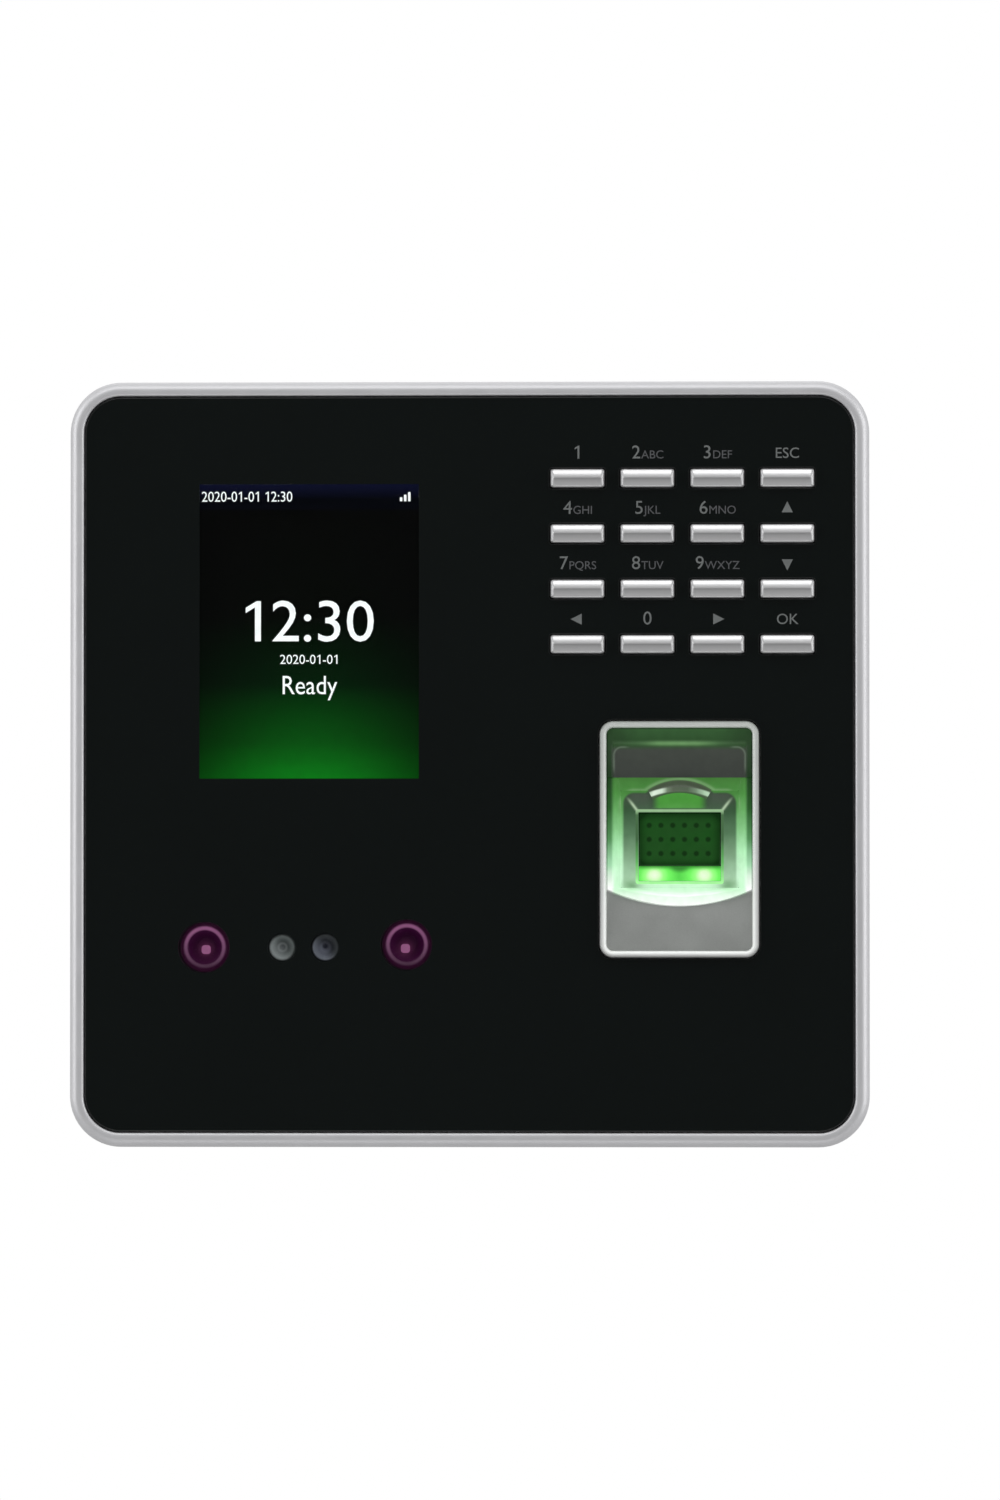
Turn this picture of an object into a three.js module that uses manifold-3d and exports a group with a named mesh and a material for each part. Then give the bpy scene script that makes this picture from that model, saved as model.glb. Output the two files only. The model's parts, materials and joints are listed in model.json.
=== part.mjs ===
// Wall-mounted fingerprint and face terminal, as an assembly of separate pieces, in millimetres.
//
// The pieces are laid out in a face frame: x to the right, y up, z out of the wall, with the origin
// in the middle of the terminal on the wall's surface. The exported group turns that frame, so that
// +Z is up, the terminal looks along -Y and the wall is the plane Y = 0.
import * as THREE from "three";
import { mergeVertices } from "three/addons/utils/BufferGeometryUtils.js";
import Module from "manifold-3d";

// ---------------------------------------------------------------- driving dimensions

const WIDTH = 156;
const HEIGHT = 149.3;
const CORNER = 10; // radius of the front's outer corners
const BAND = 2.75; // silver band seen around the black panel
const WALL = 2.2; // general wall of the mouldings
const CLEAR = 0.3; // gap around a piece that sits in another
const SLIP = 0.2; // gap around a piece that moves
const ARC_STEPS = 5; // straight pieces in a quarter round
const FINE_STEPS = 10; // the same on the outside corners
const TURN_STEPS = 16; // straight pieces in a full round

// Heights above the wall of each layer, from the wall outwards.
const PLATE = { back: 0, front: 1.5 };
const SHELL = { rim: 0.6, seat: 1.8, inside: 4, bevelTop: 9, split: 21, tongue: 22.8 };
const BOARD = { back: 17, front: 18.6, left: -59, right: 22, low: -70, high: 60 };
const FLOOR = { back: 26.2, front: 28.2 }; // the housing's floor, behind the panel
const PANEL = { back: 28.4, front: 30.4 };
const CREST = 31; // highest line of the silver band
const RIM = 31.8; // highest line of the fingerprint sensor, and of the keys

// The screen is a 2.8 inch module: the panel's opening shows all but the edge of its 43.2 x 57.6 mm.
const SCREEN = { x: -31.2, y: 25.9, width: 42.8, height: 57.4 };
const MODULE = { x: -31.2, y: 24.1, width: 50.4, height: 69.6, back: 24.4, clips: 24 };

// Row of two infrared lamps and two cameras under the screen, as [x, y] places.
const EYES = {
  lamps: [
    [-51.7, -35.7],
    [-12.2, -35.2],
  ],
  cameras: [
    [-36.5, -35.7],
    [-28.1, -35.7],
  ],
  lampR: 5,
  cameraR: 2.8,
};
const EYE_BOARD = { x: -32, y: -35.7, width: 52, height: 11, back: 20.2, front: 21.4 };
const EYE_PINS = [-44.3, -20.4];
const MODULE_FRONT = 27.9; // front of the screen, the lamps and the cameras, behind the panel

// Keypad: four columns and four rows of bar-shaped keys.
const KEYS = { x: 41.6, y: 39.5, columns: 4, rows: 4, pitchX: 13.62, pitchY: 10.79 };
const KEY = { width: 10.5, height: 3.55, flangeX: 12, flangeY: 5 };
const KEY_NAMES = [
  ["key_1", "key_2", "key_3", "key_esc"],
  ["key_4", "key_5", "key_6", "key_up"],
  ["key_7", "key_8", "key_9", "key_down"],
  ["key_left", "key_0", "key_right", "key_ok"],
];
const KEY_FLANGE = { back: 27.1, front: 28.2 };
const KEY_MAT = { width: 56, height: 42, back: 24.2, sheet: 25.2, dome: 26.1 };
const KEY_BOARD = { width: 62, height: 42, back: 22.5, front: 24.1 };
const KEY_WINDOW = { width: 54.4, height: 39 };
const KEY_PINS = { x: 29.8, y: 15.5, r: 1.1 };

// Fingerprint sensor: measures from its own middle.
const SENSOR = { x: 41, y: -14.7, width: 31, height: 46, corner: 2.6 };
const CUP = { width: 28.4, height: 43.4, top: 12, back: 24.5, floor: 26.4, lip: 30.4, wall: 0.9 };
const RAMP = { side: -9.6, middle: -12.9, low: 29.9, high: 31.1 }; // its curved edge and its slope
const BLOCK = { width: 22.6, height: 18.6, y: 0.1, back: 24.5, edge: 25.6 };
const BLOCK_TOP = { width: 17, height: 14.5, y: -1.35, z: 27.3 };
const STOP = { top: 28.8, outer: { r: 11.2, y: 0.4, reach: 0.59 }, inner: { r: 11, y: -1.9, reach: 0.49 } };
const LEDS = [-4.8, 4.8]; // places of the two lamps across the sensor
const GLASS = { width: 16.1, top: 5.3, split: -5.1, bottom: -8.1, face: 26.9, back: 22.5 };
const CASE = { width: 26, height: 40, back: 9, front: 21.8, wall: 1.5, portY: -4 };

// Connector bay in the back: an open trough below the row of jacks.
const BAY = { left: -34, right: 14, bottom: -58, top: -30, roof: 14.5, wall: 1.6 };
const JACKS = {
  rj45: { x: -22, width: 16, height: 12.6, depth: 16 },
  dc: { x: -5.5, width: 9, height: 11, depth: 13 },
  terminals: { x: 7, width: 11.4, height: 8.4, depth: 9 },
};
const USB = { x: -45, width: 13.2, height: 5.8, depth: 14 };
const RESET = { x: -24, y: -69, z: 13.5 };
const SPEAKER = { x: 39, width: 28, height: 11, depth: 6, z: 15.4 };
const TAMPER = { x: 8, y: 18, socket: 11.5, travel: 2 };
const LOCK = { x: 0, z: 5, tab: 12, head: -69 }; // lock screw, driven in from below

const MOUNT = { y: -3, width: 120, height: 118, corner: 5 };
const PLATE_FOOT = MOUNT.y - MOUNT.height / 2; // the wall plate's lower edge
const WALL_SCREWS = { x: 45, y: 45, middle: -1, holeR: 2.1, headR: 4.5, headRoom: 5 };
const HOOKS = { xs: [-35, 35], neck: 42, thick: 1.5, lip: 4, width: 7 };
const BOSSES = { x: 64, y: 64.5, seat: 7, foot: 13.8 };
const POSTS = [
  [-55, 55],
  [18, 55],
  [-55, -52],
  [18, -64],
];

// ---------------------------------------------------------------- materials

const finish = (color, roughness, metalness = 0, extra = {}) =>
  new THREE.MeshStandardMaterial({ color, roughness, metalness, ...extra });

const MATERIAL = {
  silverPaint: finish(0xc6c6c9, 0.38, 0.5),
  panelBlack: finish(0x0b0d0d, 0.08),
  clear: finish(0x1c2022, 0.05, 0, { transparent: true, opacity: 0.35 }),
  keySilver: finish(0xd6d7d9, 0.3, 0.6),
  silicone: finish(0x8b8f92, 0.8),
  board: finish(0x1d5c36, 0.6),
  steel: finish(0xb4b6b8, 0.35, 0.9),
  picture: finish(0x0c3a14, 0.2),
  film: finish(0xb98a3a, 0.5),
  blackPlastic: finish(0x17181a, 0.6),
  lens: finish(0x3c4144, 0.2, 0.2),
  lamp: finish(0x5a1747, 0.25),
  hood: finish(0x3c423f, 0.25),
  guide: finish(0x8fe39a, 0.4),
  block: finish(0x7d8781, 0.35, 0.3),
  optical: finish(0x124a1c, 0.08),
  led: finish(0xb6ffb0, 0.3),
  white: finish(0xe7e7e2, 0.5),
  chip: finish(0x303236, 0.5),
  green: finish(0x2f7d48, 0.5),
};

// ---------------------------------------------------------------- solids

const wasm = await Module();
wasm.setup();

function toSolid(geometry) {
  const flat = geometry.index ? geometry.toNonIndexed() : geometry;
  const bare = new THREE.BufferGeometry().setAttribute("position", flat.getAttribute("position"));
  const merged = mergeVertices(bare, 1e-4);
  return new wasm.Manifold(
    new wasm.Mesh({
      numProp: 3,
      vertProperties: merged.attributes.position.array,
      triVerts: new Uint32Array(merged.index.array),
    }),
  );
}

function toGeometry(solid) {
  const mesh = solid.getMesh();
  const positions = new Float32Array(mesh.numVert * 3);
  for (let i = 0; i < mesh.numVert; i += 1) {
    const from = i * mesh.numProp;
    positions.set(mesh.vertProperties.subarray(from, from + 3), i * 3);
  }
  const geometry = new THREE.BufferGeometry();
  geometry.setAttribute("position", new THREE.BufferAttribute(positions, 3));
  geometry.setIndex(new THREE.BufferAttribute(mesh.triVerts, 1));
  geometry.computeVertexNormals();
  return geometry;
}

const join = (first, ...others) => others.reduce((made, solid) => made.add(solid), first);
const cut = (first, ...others) => others.reduce((made, solid) => made.subtract(solid), first);

// A box between two corners.
function block(x0, x1, y0, y1, z0, z1) {
  const geometry = new THREE.BoxGeometry(x1 - x0, y1 - y0, z1 - z0);
  geometry.translate((x0 + x1) / 2, (y0 + y1) / 2, (z0 + z1) / 2);
  return toSolid(geometry);
}

// A box given by its middle in x and y.
const slab = (x, y, width, height, z0, z1) =>
  block(x - width / 2, x + width / 2, y - height / 2, y + height / 2, z0, z1);

// A round bar along z, or a cone if its two radii differ.
function bar(x, y, z0, z1, radius, frontRadius = radius, steps = TURN_STEPS) {
  const geometry = new THREE.CylinderGeometry(frontRadius, radius, z1 - z0, steps);
  geometry.rotateX(Math.PI / 2);
  geometry.translate(x, y, (z0 + z1) / 2);
  return toSolid(geometry);
}

// A round bar along y.
function upright(x, z, y0, y1, radius, steps = TURN_STEPS) {
  const geometry = new THREE.CylinderGeometry(radius, radius, y1 - y0, steps);
  geometry.translate(x, (y0 + y1) / 2, z);
  return toSolid(geometry);
}

function roundedRect(x, y, width, height, radius) {
  const [left, right] = [x - width / 2, x + width / 2];
  const [low, high] = [y - height / 2, y + height / 2];
  const quarter = Math.PI / 2;
  const shape = new THREE.Shape();
  shape.moveTo(left + radius, low);
  shape.lineTo(right - radius, low);
  shape.absarc(right - radius, low + radius, radius, -quarter, 0);
  shape.lineTo(right, high - radius);
  shape.absarc(right - radius, high - radius, radius, 0, quarter);
  shape.lineTo(left + radius, high);
  shape.absarc(left + radius, high - radius, radius, quarter, 2 * quarter);
  shape.lineTo(left, low + radius);
  shape.absarc(left + radius, low + radius, radius, 2 * quarter, 3 * quarter);
  return shape;
}

// An outline in x and y, pulled out from z0 to z1.
function extrude(shape, z0, z1, steps = ARC_STEPS) {
  const depth = z1 - z0;
  const geometry = new THREE.ExtrudeGeometry(shape, { depth, bevelEnabled: false, curveSegments: steps });
  geometry.translate(0, 0, z0);
  return toSolid(geometry);
}

const pad = (x, y, width, height, radius, z0, z1, steps = ARC_STEPS) =>
  extrude(roundedRect(x, y, width, height, radius), z0, z1, steps);

// An outline of [y, z] points, pulled out along x.
function profile(points, x0, x1) {
  const shape = new THREE.Shape(points.map(([y, z]) => new THREE.Vector2(y, z)));
  const geometry = new THREE.ExtrudeGeometry(shape, { depth: x1 - x0, bevelEnabled: false });
  geometry.rotateY(Math.PI / 2);
  geometry.rotateX(Math.PI / 2);
  geometry.translate(x0, 0, 0);
  return toSolid(geometry);
}

// A skin over rounded rectangles [z, x, y, width, height, radius], closed at both ends.
function loft(sections, steps = ARC_STEPS) {
  const rings = sections.map(([z, x, y, width, height, radius]) => {
    const ring = [];
    for (let corner = 0; corner < 4; corner += 1) {
      const sideX = corner === 0 || corner === 3 ? 1 : -1;
      const sideY = corner < 2 ? 1 : -1;
      for (let step = 0; step <= steps; step += 1) {
        const angle = ((corner + step / steps) * Math.PI) / 2;
        const px = x + sideX * (width / 2 - radius) + radius * Math.cos(angle);
        const py = y + sideY * (height / 2 - radius) + radius * Math.sin(angle);
        ring.push([px, py, z]);
      }
    }
    return ring;
  });
  const count = rings[0].length;
  const triangles = [];
  const face = (a, b, c) => triangles.push(...a, ...b, ...c);
  for (let i = 0; i < count; i += 1) {
    const next = (i + 1) % count;
    for (let k = 0; k + 1 < rings.length; k += 1) {
      const [low, high] = [rings[k], rings[k + 1]];
      face(low[i], low[next], high[next]);
      face(low[i], high[next], high[i]);
    }
    if (i > 0 && i + 1 < count) {
      const [first, last] = [rings[0], rings[rings.length - 1]];
      face(first[0], first[next], first[i]);
      face(last[0], last[i], last[next]);
    }
  }
  const geometry = new THREE.BufferGeometry();
  geometry.setAttribute("position", new THREE.Float32BufferAttribute(triangles, 3));
  return toSolid(geometry);
}

// The terminal's own outline drawn in by an inset, at height z.
function ringAt(z, inset) {
  const radius = Math.max(CORNER - inset, 3);
  return [z, 0, 0, WIDTH - 2 * inset, HEIGHT - 2 * inset, radius];
}

const assembly = new THREE.Group();
const front = new THREE.Group();
const back = new THREE.Group();
assembly.add(front, back);

function addPart(parent, name, solid, material) {
  const mesh = new THREE.Mesh(toGeometry(solid), material);
  mesh.name = name;
  parent.add(mesh);
}

// ---------------------------------------------------------------- front: housing, panel, windows

function keyPlaces() {
  const places = [];
  KEY_NAMES.forEach((names, row) =>
    names.forEach((name, column) => {
      const x = KEYS.x + (column - (KEYS.columns - 1) / 2) * KEYS.pitchX;
      const y = KEYS.y - (row - (KEYS.rows - 1) / 2) * KEYS.pitchY;
      places.push({ name, x, y });
    }),
  );
  return places;
}

function eachEye(makeLamp, makeCamera) {
  return [...EYES.lamps.map(makeLamp), ...EYES.cameras.map(makeCamera)];
}

const fourWays = (x, y) => [
  [x, y],
  [-x, y],
  [-x, -y],
  [x, -y],
];

function frontHousing() {
  const skin = loft(
    [
      ringAt(SHELL.split + SLIP, 0.5),
      ringAt(SHELL.split + 1.2, 0.1),
      ringAt(CREST - 2, 0),
      ringAt(CREST - 1, 0.3),
      ringAt(CREST - 0.3, 0.9),
      ringAt(CREST, 1.7),
    ],
    FINE_STEPS,
  );
  const pocket = loft([ringAt(FLOOR.front, BAND), ringAt(CREST + 1, BAND)]);
  const innerEdge = loft([ringAt(CREST - 0.6, BAND), ringAt(CREST + 0.05, BAND - 0.6)]);
  const hollow = loft([ringAt(SHELL.split - 1, 2), ringAt(FLOOR.back, WALL)]);
  const through = [FLOOR.back - 1, PANEL.front];
  const screenHole = slab(MODULE.x, MODULE.y, MODULE.width + 0.8, MODULE.height + 0.8, ...through);
  const keyHole = slab(KEYS.x, KEYS.y, KEY_WINDOW.width, KEY_WINDOW.height, ...through);
  const sensorHole = slab(SENSOR.x, SENSOR.y, SENSOR.width - 1.4, SENSOR.height - 1.4, ...through);
  const eyeHoles = eachEye(
    ([x, y]) => bar(x, y, ...through, EYES.lampR + 0.4),
    ([x, y]) => bar(x, y, ...through, EYES.cameraR + 0.7),
  );
  const bosses = fourWays(BOSSES.x, BOSSES.y).map(([x, y]) =>
    cut(
      bar(x, y, BOSSES.foot + SLIP, FLOOR.back + 0.5, 3.2),
      bar(x, y, BOSSES.foot - 1, SHELL.split, 1.5),
    ),
  );
  const keyPins = fourWays(KEY_PINS.x, KEY_PINS.y).map(([x, y]) =>
    bar(KEYS.x + x, KEYS.y + y, KEY_BOARD.back - 0.7, FLOOR.back + 0.5, KEY_PINS.r, KEY_PINS.r, 12),
  );
  const eyePins = EYE_PINS.map((x) =>
    join(
      bar(x, EYE_BOARD.y, EYE_BOARD.front + 0.1, FLOOR.back + 0.5, 1.8, 1.8, 12),
      bar(x, EYE_BOARD.y, EYE_BOARD.back - 0.7, FLOOR.back, 0.9, 0.9, 12),
    ),
  );
  const clips = fourWays(MODULE.width / 2 + 0.4, MODULE.clips).map(([x, y]) => {
    const side = Math.sign(x);
    const [edge, post, tip] = [MODULE.x + x, MODULE.x + x + 1.4 * side, MODULE.x + x - 1.6 * side];
    const span = [MODULE.y + y - 3, MODULE.y + y + 3];
    const low = MODULE.back - 1.4;
    const arm = block(Math.min(edge, post), Math.max(edge, post), ...span, low, FLOOR.back + 0.5);
    const lip = block(Math.min(tip, post), Math.max(tip, post), ...span, low, MODULE.back - CLEAR);
    return join(arm, lip);
  });
  const openings = [pocket, innerEdge, hollow, screenHole, keyHole, sensorHole, ...eyeHoles];
  return join(cut(skin, ...openings), ...bosses, ...keyPins, ...eyePins, ...clips);
}

const PANEL_STEP = PANEL.back + 0.85; // depth of the rebates in the panel's back
const FLANGE = { screenX: 47, screenY: 61.4, eyesX: 51.8, eyesY: 11.8 }; // edges of the windows

function frontPanel() {
  const sheet = loft(
    [
      ringAt(PANEL.back, BAND + CLEAR),
      ringAt(PANEL.front - 0.3, BAND + CLEAR),
      ringAt(PANEL.front, BAND + CLEAR + 0.3),
    ],
    FINE_STEPS,
  );
  const through = [PANEL.back - 1, PANEL.front + 1];
  const screenHole = slab(SCREEN.x, SCREEN.y, SCREEN.width + 0.6, SCREEN.height + 0.6, ...through);
  const rebate = [PANEL.back - 1, PANEL_STEP];
  const screenRebate = slab(SCREEN.x, SCREEN.y, FLANGE.screenX + 0.6, FLANGE.screenY + 0.6, ...rebate);
  const eyeRebate = slab(EYE_BOARD.x, EYE_BOARD.y, FLANGE.eyesX + 0.6, FLANGE.eyesY + 0.6, ...rebate);
  const eyeHoles = eachEye(
    ([x, y]) => bar(x, y, ...through, EYES.lampR + CLEAR),
    ([x, y]) => bar(x, y, ...through, EYES.cameraR + CLEAR),
  );
  const keyHoles = keyPlaces().map(({ x, y }) =>
    pad(x, y, KEY.width + 2 * SLIP, KEY.height + 2 * SLIP, 0.4, ...through, 1),
  );
  const sensorHole = pad(
    SENSOR.x,
    SENSOR.y,
    SENSOR.width + 0.5,
    SENSOR.height + 0.5,
    SENSOR.corner + 0.2,
    ...through,
  );
  return cut(sheet, screenHole, screenRebate, eyeRebate, sensorHole, ...eyeHoles, ...keyHoles);
}

function screenWindow() {
  const levels = [PANEL.back + 0.05, PANEL_STEP - 0.1];
  const flange = slab(SCREEN.x, SCREEN.y, FLANGE.screenX, FLANGE.screenY, ...levels);
  const face = slab(SCREEN.x, SCREEN.y, SCREEN.width, SCREEN.height, PANEL_STEP - 0.3, PANEL.front);
  return join(flange, face);
}

function eyeWindow() {
  const levels = [PANEL.back + 0.05, PANEL_STEP - 0.1];
  const strip = slab(EYE_BOARD.x, EYE_BOARD.y, FLANGE.eyesX, FLANGE.eyesY, ...levels);
  const faces = eachEye(
    ([x, y]) => bar(x, y, PANEL_STEP - 0.3, PANEL.front, EYES.lampR),
    ([x, y]) => bar(x, y, PANEL_STEP - 0.3, PANEL.front, EYES.cameraR),
  );
  return join(strip, ...faces);
}

// ---------------------------------------------------------------- keypad

// A key: bar-shaped cap with an upper slope and a lower slope, a flange behind the panel and a plunger.
function keyCap(x, y) {
  const half = KEY.height / 2;
  const slopes = profile(
    [
      [-half, KEY_FLANGE.front - 0.2],
      [half, KEY_FLANGE.front - 0.2],
      [half, RIM - 1.05],
      [0.35, RIM - 0.05],
      [-0.1, RIM],
      [-half + 0.35, RIM - 0.45],
      [-half, RIM - 0.85],
    ],
    -KEY.width / 2,
    KEY.width / 2,
  );
  const plan = pad(0, 0, KEY.width, KEY.height, 0.4, KEY_FLANGE.front - 1, RIM + 1, 1);
  const flange = slab(0, 0, KEY.flangeX, KEY.flangeY, KEY_FLANGE.back, KEY_FLANGE.front);
  const plunger = slab(0, 0, 3.4, 2, KEY_MAT.dome + 0.15, KEY_FLANGE.back + 0.1);
  return join(slopes.intersect(plan), flange, plunger).translate([x, y, 0]);
}

function keyMat() {
  const { width, height, back: low } = KEY_MAT;
  const sheet = slab(KEYS.x, KEYS.y, width, height, low, KEY_MAT.sheet);
  const outer = slab(KEYS.x, KEYS.y, width, height, low, KEY_MAT.dome);
  const inner = slab(KEYS.x, KEYS.y, width - 1.4, height - 1.4, low - 1, RIM);
  const domes = keyPlaces().map(({ x, y }) =>
    bar(x, y, KEY_MAT.sheet - 0.3, KEY_MAT.dome, 2.4, 1.6, 8),
  );
  return join(sheet, cut(outer, inner), ...domes);
}

function keyBoard() {
  const { width, height, back: low, front: high } = KEY_BOARD;
  const sheet = slab(KEYS.x, KEYS.y, width, height, low, high);
  const holes = fourWays(KEY_PINS.x, KEY_PINS.y).map(([x, y]) =>
    bar(KEYS.x + x, KEYS.y + y, low - 1, high + 1, KEY_PINS.r + SLIP, KEY_PINS.r + SLIP, 12),
  );
  return cut(sheet, ...holes);
}

// ---------------------------------------------------------------- screen

const LCD_BED = { back: 25.2, front: 27.4 }; // room for the glass inside its can

function lcdFrame() {
  const { x, y, width, height } = MODULE;
  const can = slab(x, y, width, height, MODULE.back, MODULE_FRONT);
  const bed = slab(x, y, width - 1.2, height - 1.2, LCD_BED.back, LCD_BED.front);
  const view = slab(SCREEN.x, SCREEN.y, SCREEN.width + 1, SCREEN.height + 1, LCD_BED.back, PANEL.front);
  return cut(can, bed, view);
}

function lcdPanel() {
  const { x, y, width, height } = MODULE;
  return slab(x, y, width - 1.8, height - 1.8, LCD_BED.back + SLIP, LCD_BED.front - SLIP);
}

// Flat cable from the foot of the screen module, round to a socket on the main board.
function lcdCable() {
  const foot = MODULE.y - MODULE.height / 2;
  const bend = new THREE.CubicBezierCurve(
    new THREE.Vector2(foot + 3, MODULE.back - 0.4),
    new THREE.Vector2(foot - 8, MODULE.back - 0.4),
    new THREE.Vector2(foot - 8, BOARD.front + 0.5),
    new THREE.Vector2(foot + 4, BOARD.front + 0.5),
  );
  const line = bend.getPoints(12);
  const half = 0.15;
  const offset = (side) =>
    line.map((point, i) => {
      const tangent = bend.getTangent(i / (line.length - 1));
      return [point.x - side * half * tangent.y, point.y + side * half * tangent.x];
    });
  return profile([...offset(1), ...offset(-1).reverse()], MODULE.x - 12, MODULE.x + 12);
}

// ---------------------------------------------------------------- cameras and infrared lamps

function eyeBoard() {
  const { x, y, width, height, back: low, front: high } = EYE_BOARD;
  const holes = EYE_PINS.map((pin) => bar(pin, y, low - 1, high + 1, 1.15, 1.15, 12));
  return cut(slab(x, y, width, height, low, high), ...holes);
}

function cameraModule([x, y]) {
  const shoulder = MODULE_FRONT - 3.4;
  const base = slab(x, y, 7.4, 7.4, EYE_BOARD.front + 0.1, shoulder + 0.1);
  const barrel = bar(x, y, shoulder, MODULE_FRONT - 1.1, 3.1);
  const nose = bar(x, y, MODULE_FRONT - 1.3, MODULE_FRONT, 2.7);
  const mouth = bar(x, y, MODULE_FRONT - 0.9, MODULE_FRONT + 0.6, 0.9, 2.7);
  return cut(join(base, barrel, nose), mouth);
}

function lampModule([x, y]) {
  const bottom = EYE_BOARD.front + 2; // foot of the bowl
  const cup = bar(x, y, EYE_BOARD.front + 0.1, MODULE_FRONT, EYES.lampR);
  const bowl = bar(x, y, bottom, MODULE_FRONT + 0.3, 1.8, EYES.lampR - 0.3);
  const die = slab(x, y, 2, 2, bottom - 0.2, bottom + 0.9);
  return join(cut(cup, bowl), die);
}

// ---------------------------------------------------------------- fingerprint sensor

const atSensor = (solid) => solid.translate([SENSOR.x, SENSOR.y, 0]);

// The region above the finger ramp's curved edge, drawn down by a margin.
function aboveRamp(margin, z0, z1) {
  const half = CUP.width / 2;
  const dip = RAMP.side - RAMP.middle;
  const radius = (half * half + dip * dip) / (2 * dip);
  const middle = RAMP.middle + radius;
  const reach = Math.asin((half + 2) / (radius + margin));
  const shape = new THREE.Shape();
  const rest = -Math.PI / 2;
  shape.absarc(0, middle, radius + margin, rest - reach, rest + reach);
  shape.lineTo(half + 2, SENSOR.height);
  shape.lineTo(-half - 2, SENSOR.height);
  return extrude(shape, z0, z1, 16);
}

function sensorBezel() {
  const flange = loft([
    [PANEL.back - 0.05, 0, 0, SENSOR.width, SENSOR.height, SENSOR.corner],
    [RIM - 0.4, 0, 0, SENSOR.width, SENSOR.height, SENSOR.corner],
    [RIM, 0, 0, SENSOR.width - 0.9, SENSOR.height - 0.9, SENSOR.corner - 0.45],
  ]);
  const skirt = pad(0, 0, SENSOR.width - 2, SENSOR.height - 2, 1.6, 22.2, PANEL.back, 3);
  const lugs = [-1, 1].map((side) => {
    const edge = side * (SENSOR.width / 2 - 1);
    const low = Math.min(edge - 0.4, edge + 0.6 * side);
    const high = Math.max(edge + 0.4, edge + 0.6 * side);
    return block(low, high, -4, 4, FLOOR.back - 1.6, FLOOR.back - SLIP);
  });
  const mouth = pad(0, 0, CUP.width, CUP.height, 1.6, CUP.back - 0.1, RIM + 1, 3);
  const bore = pad(0, 0, SENSOR.width - 4.4, SENSOR.height - 4.4, 1, 20, RIM, 3);
  const foot = -CUP.height / 2 - 0.3;
  const slope = profile(
    [
      [foot, CUP.back - 0.5],
      [0, CUP.back - 0.5],
      [0, RAMP.low - 0.9],
      [RAMP.middle, RAMP.low],
      [foot, RAMP.high],
    ],
    -CUP.width / 2 - 0.3,
    CUP.width / 2 + 0.3,
  );
  const ramp = cut(slope, aboveRamp(0, 20, RIM + 1));
  return atSensor(join(cut(join(flange, skirt, ...lugs), mouth, bore), ramp));
}

// Dark sloping wall at the top of the cup.
function sensorHood() {
  const high = CUP.height / 2 - 0.2;
  const wall = profile(
    [
      [CUP.top + 0.15, CUP.back],
      [high, CUP.back],
      [high, 30.5],
      [18.9, 30.2],
      [18.3, 29.5],
      [CUP.top + 0.15, CUP.floor + 0.4],
    ],
    -CUP.width / 2,
    CUP.width / 2,
  );
  return atSensor(wall.intersect(pad(0, 0, CUP.width - 0.4, CUP.height - 0.4, 1.4, 20, RIM, 3)));
}

// Glowing tray that carries green light round the block.
function sensorLightGuide() {
  const high = CUP.top - 0.15;
  const low = RAMP.middle + 0.2;
  const width = CUP.width - 0.4;
  const body = block(-width / 2, width / 2, low - 1, high, CUP.back, CUP.lip).intersect(
    aboveRamp(-0.2, 20, RIM),
  );
  const inside = width / 2 - CUP.wall;
  const tray = block(-inside, inside, low - 1, high + 1, CUP.floor, RIM).intersect(
    aboveRamp(-1.3, 20, RIM),
  );
  const hole = slab(0, BLOCK.y, BLOCK.width + 0.4, BLOCK.height + 0.4, 20, RIM);
  return atSensor(cut(body, tray, hole));
}

// Grey block round the glass, with a crescent ridge that stops the fingertip.
function sensorBlock() {
  const body = loft([
    [BLOCK.back, 0, BLOCK.y, BLOCK.width, BLOCK.height, 1.6],
    [BLOCK.edge, 0, BLOCK.y, BLOCK.width, BLOCK.height, 1.6],
    [BLOCK_TOP.z, 0, BLOCK_TOP.y, BLOCK_TOP.width, BLOCK_TOP.height, 0.4],
  ]);
  const middle = (GLASS.top + GLASS.bottom) / 2;
  const hole = slab(0, middle, GLASS.width, GLASS.top - GLASS.bottom, 20, RIM);
  const ridge = new THREE.Shape();
  const { outer, inner } = STOP;
  ridge.absarc(0, outer.y, outer.r, Math.PI / 2 - outer.reach, Math.PI / 2 + outer.reach);
  ridge.absarc(0, inner.y, inner.r, Math.PI / 2 + inner.reach, Math.PI / 2 - inner.reach, true);
  const footprint = slab(0, BLOCK.y, BLOCK.width, BLOCK.height, BLOCK.back, RIM);
  const root = extrude(ridge, BLOCK.back + 0.5, STOP.top, 8).intersect(footprint);
  const overhang = extrude(ridge, CUP.floor + CLEAR, STOP.top, 8);
  return atSensor(join(cut(body, hole), root, overhang));
}

function sensorPrism() {
  const half = GLASS.width / 2 - 0.2;
  return atSensor(block(-half, half, GLASS.split, GLASS.top - 0.2, GLASS.back, GLASS.face));
}

function sensorLed(x) {
  const y = (GLASS.split + GLASS.bottom) / 2;
  const foot = GLASS.back + 0.1;
  const body = slab(x, y, 5.2, 2.2, foot, foot + 2.8);
  const dome = bar(x, y, foot + 2.6, foot + 3.7, 1, 0.7, 12);
  return atSensor(join(body, dome));
}

function sensorCase() {
  const wall = CASE.wall;
  const box = slab(0, 0, CASE.width, CASE.height, CASE.back, CASE.front);
  const room = slab(0, 0, CASE.width - 2 * wall, CASE.height - 2 * wall, CASE.back + wall, CASE.front + 1);
  const port = slab(0, CASE.portY, 9, 9, CASE.back - 1, CASE.back + 3);
  return atSensor(cut(box, room, port));
}

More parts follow.
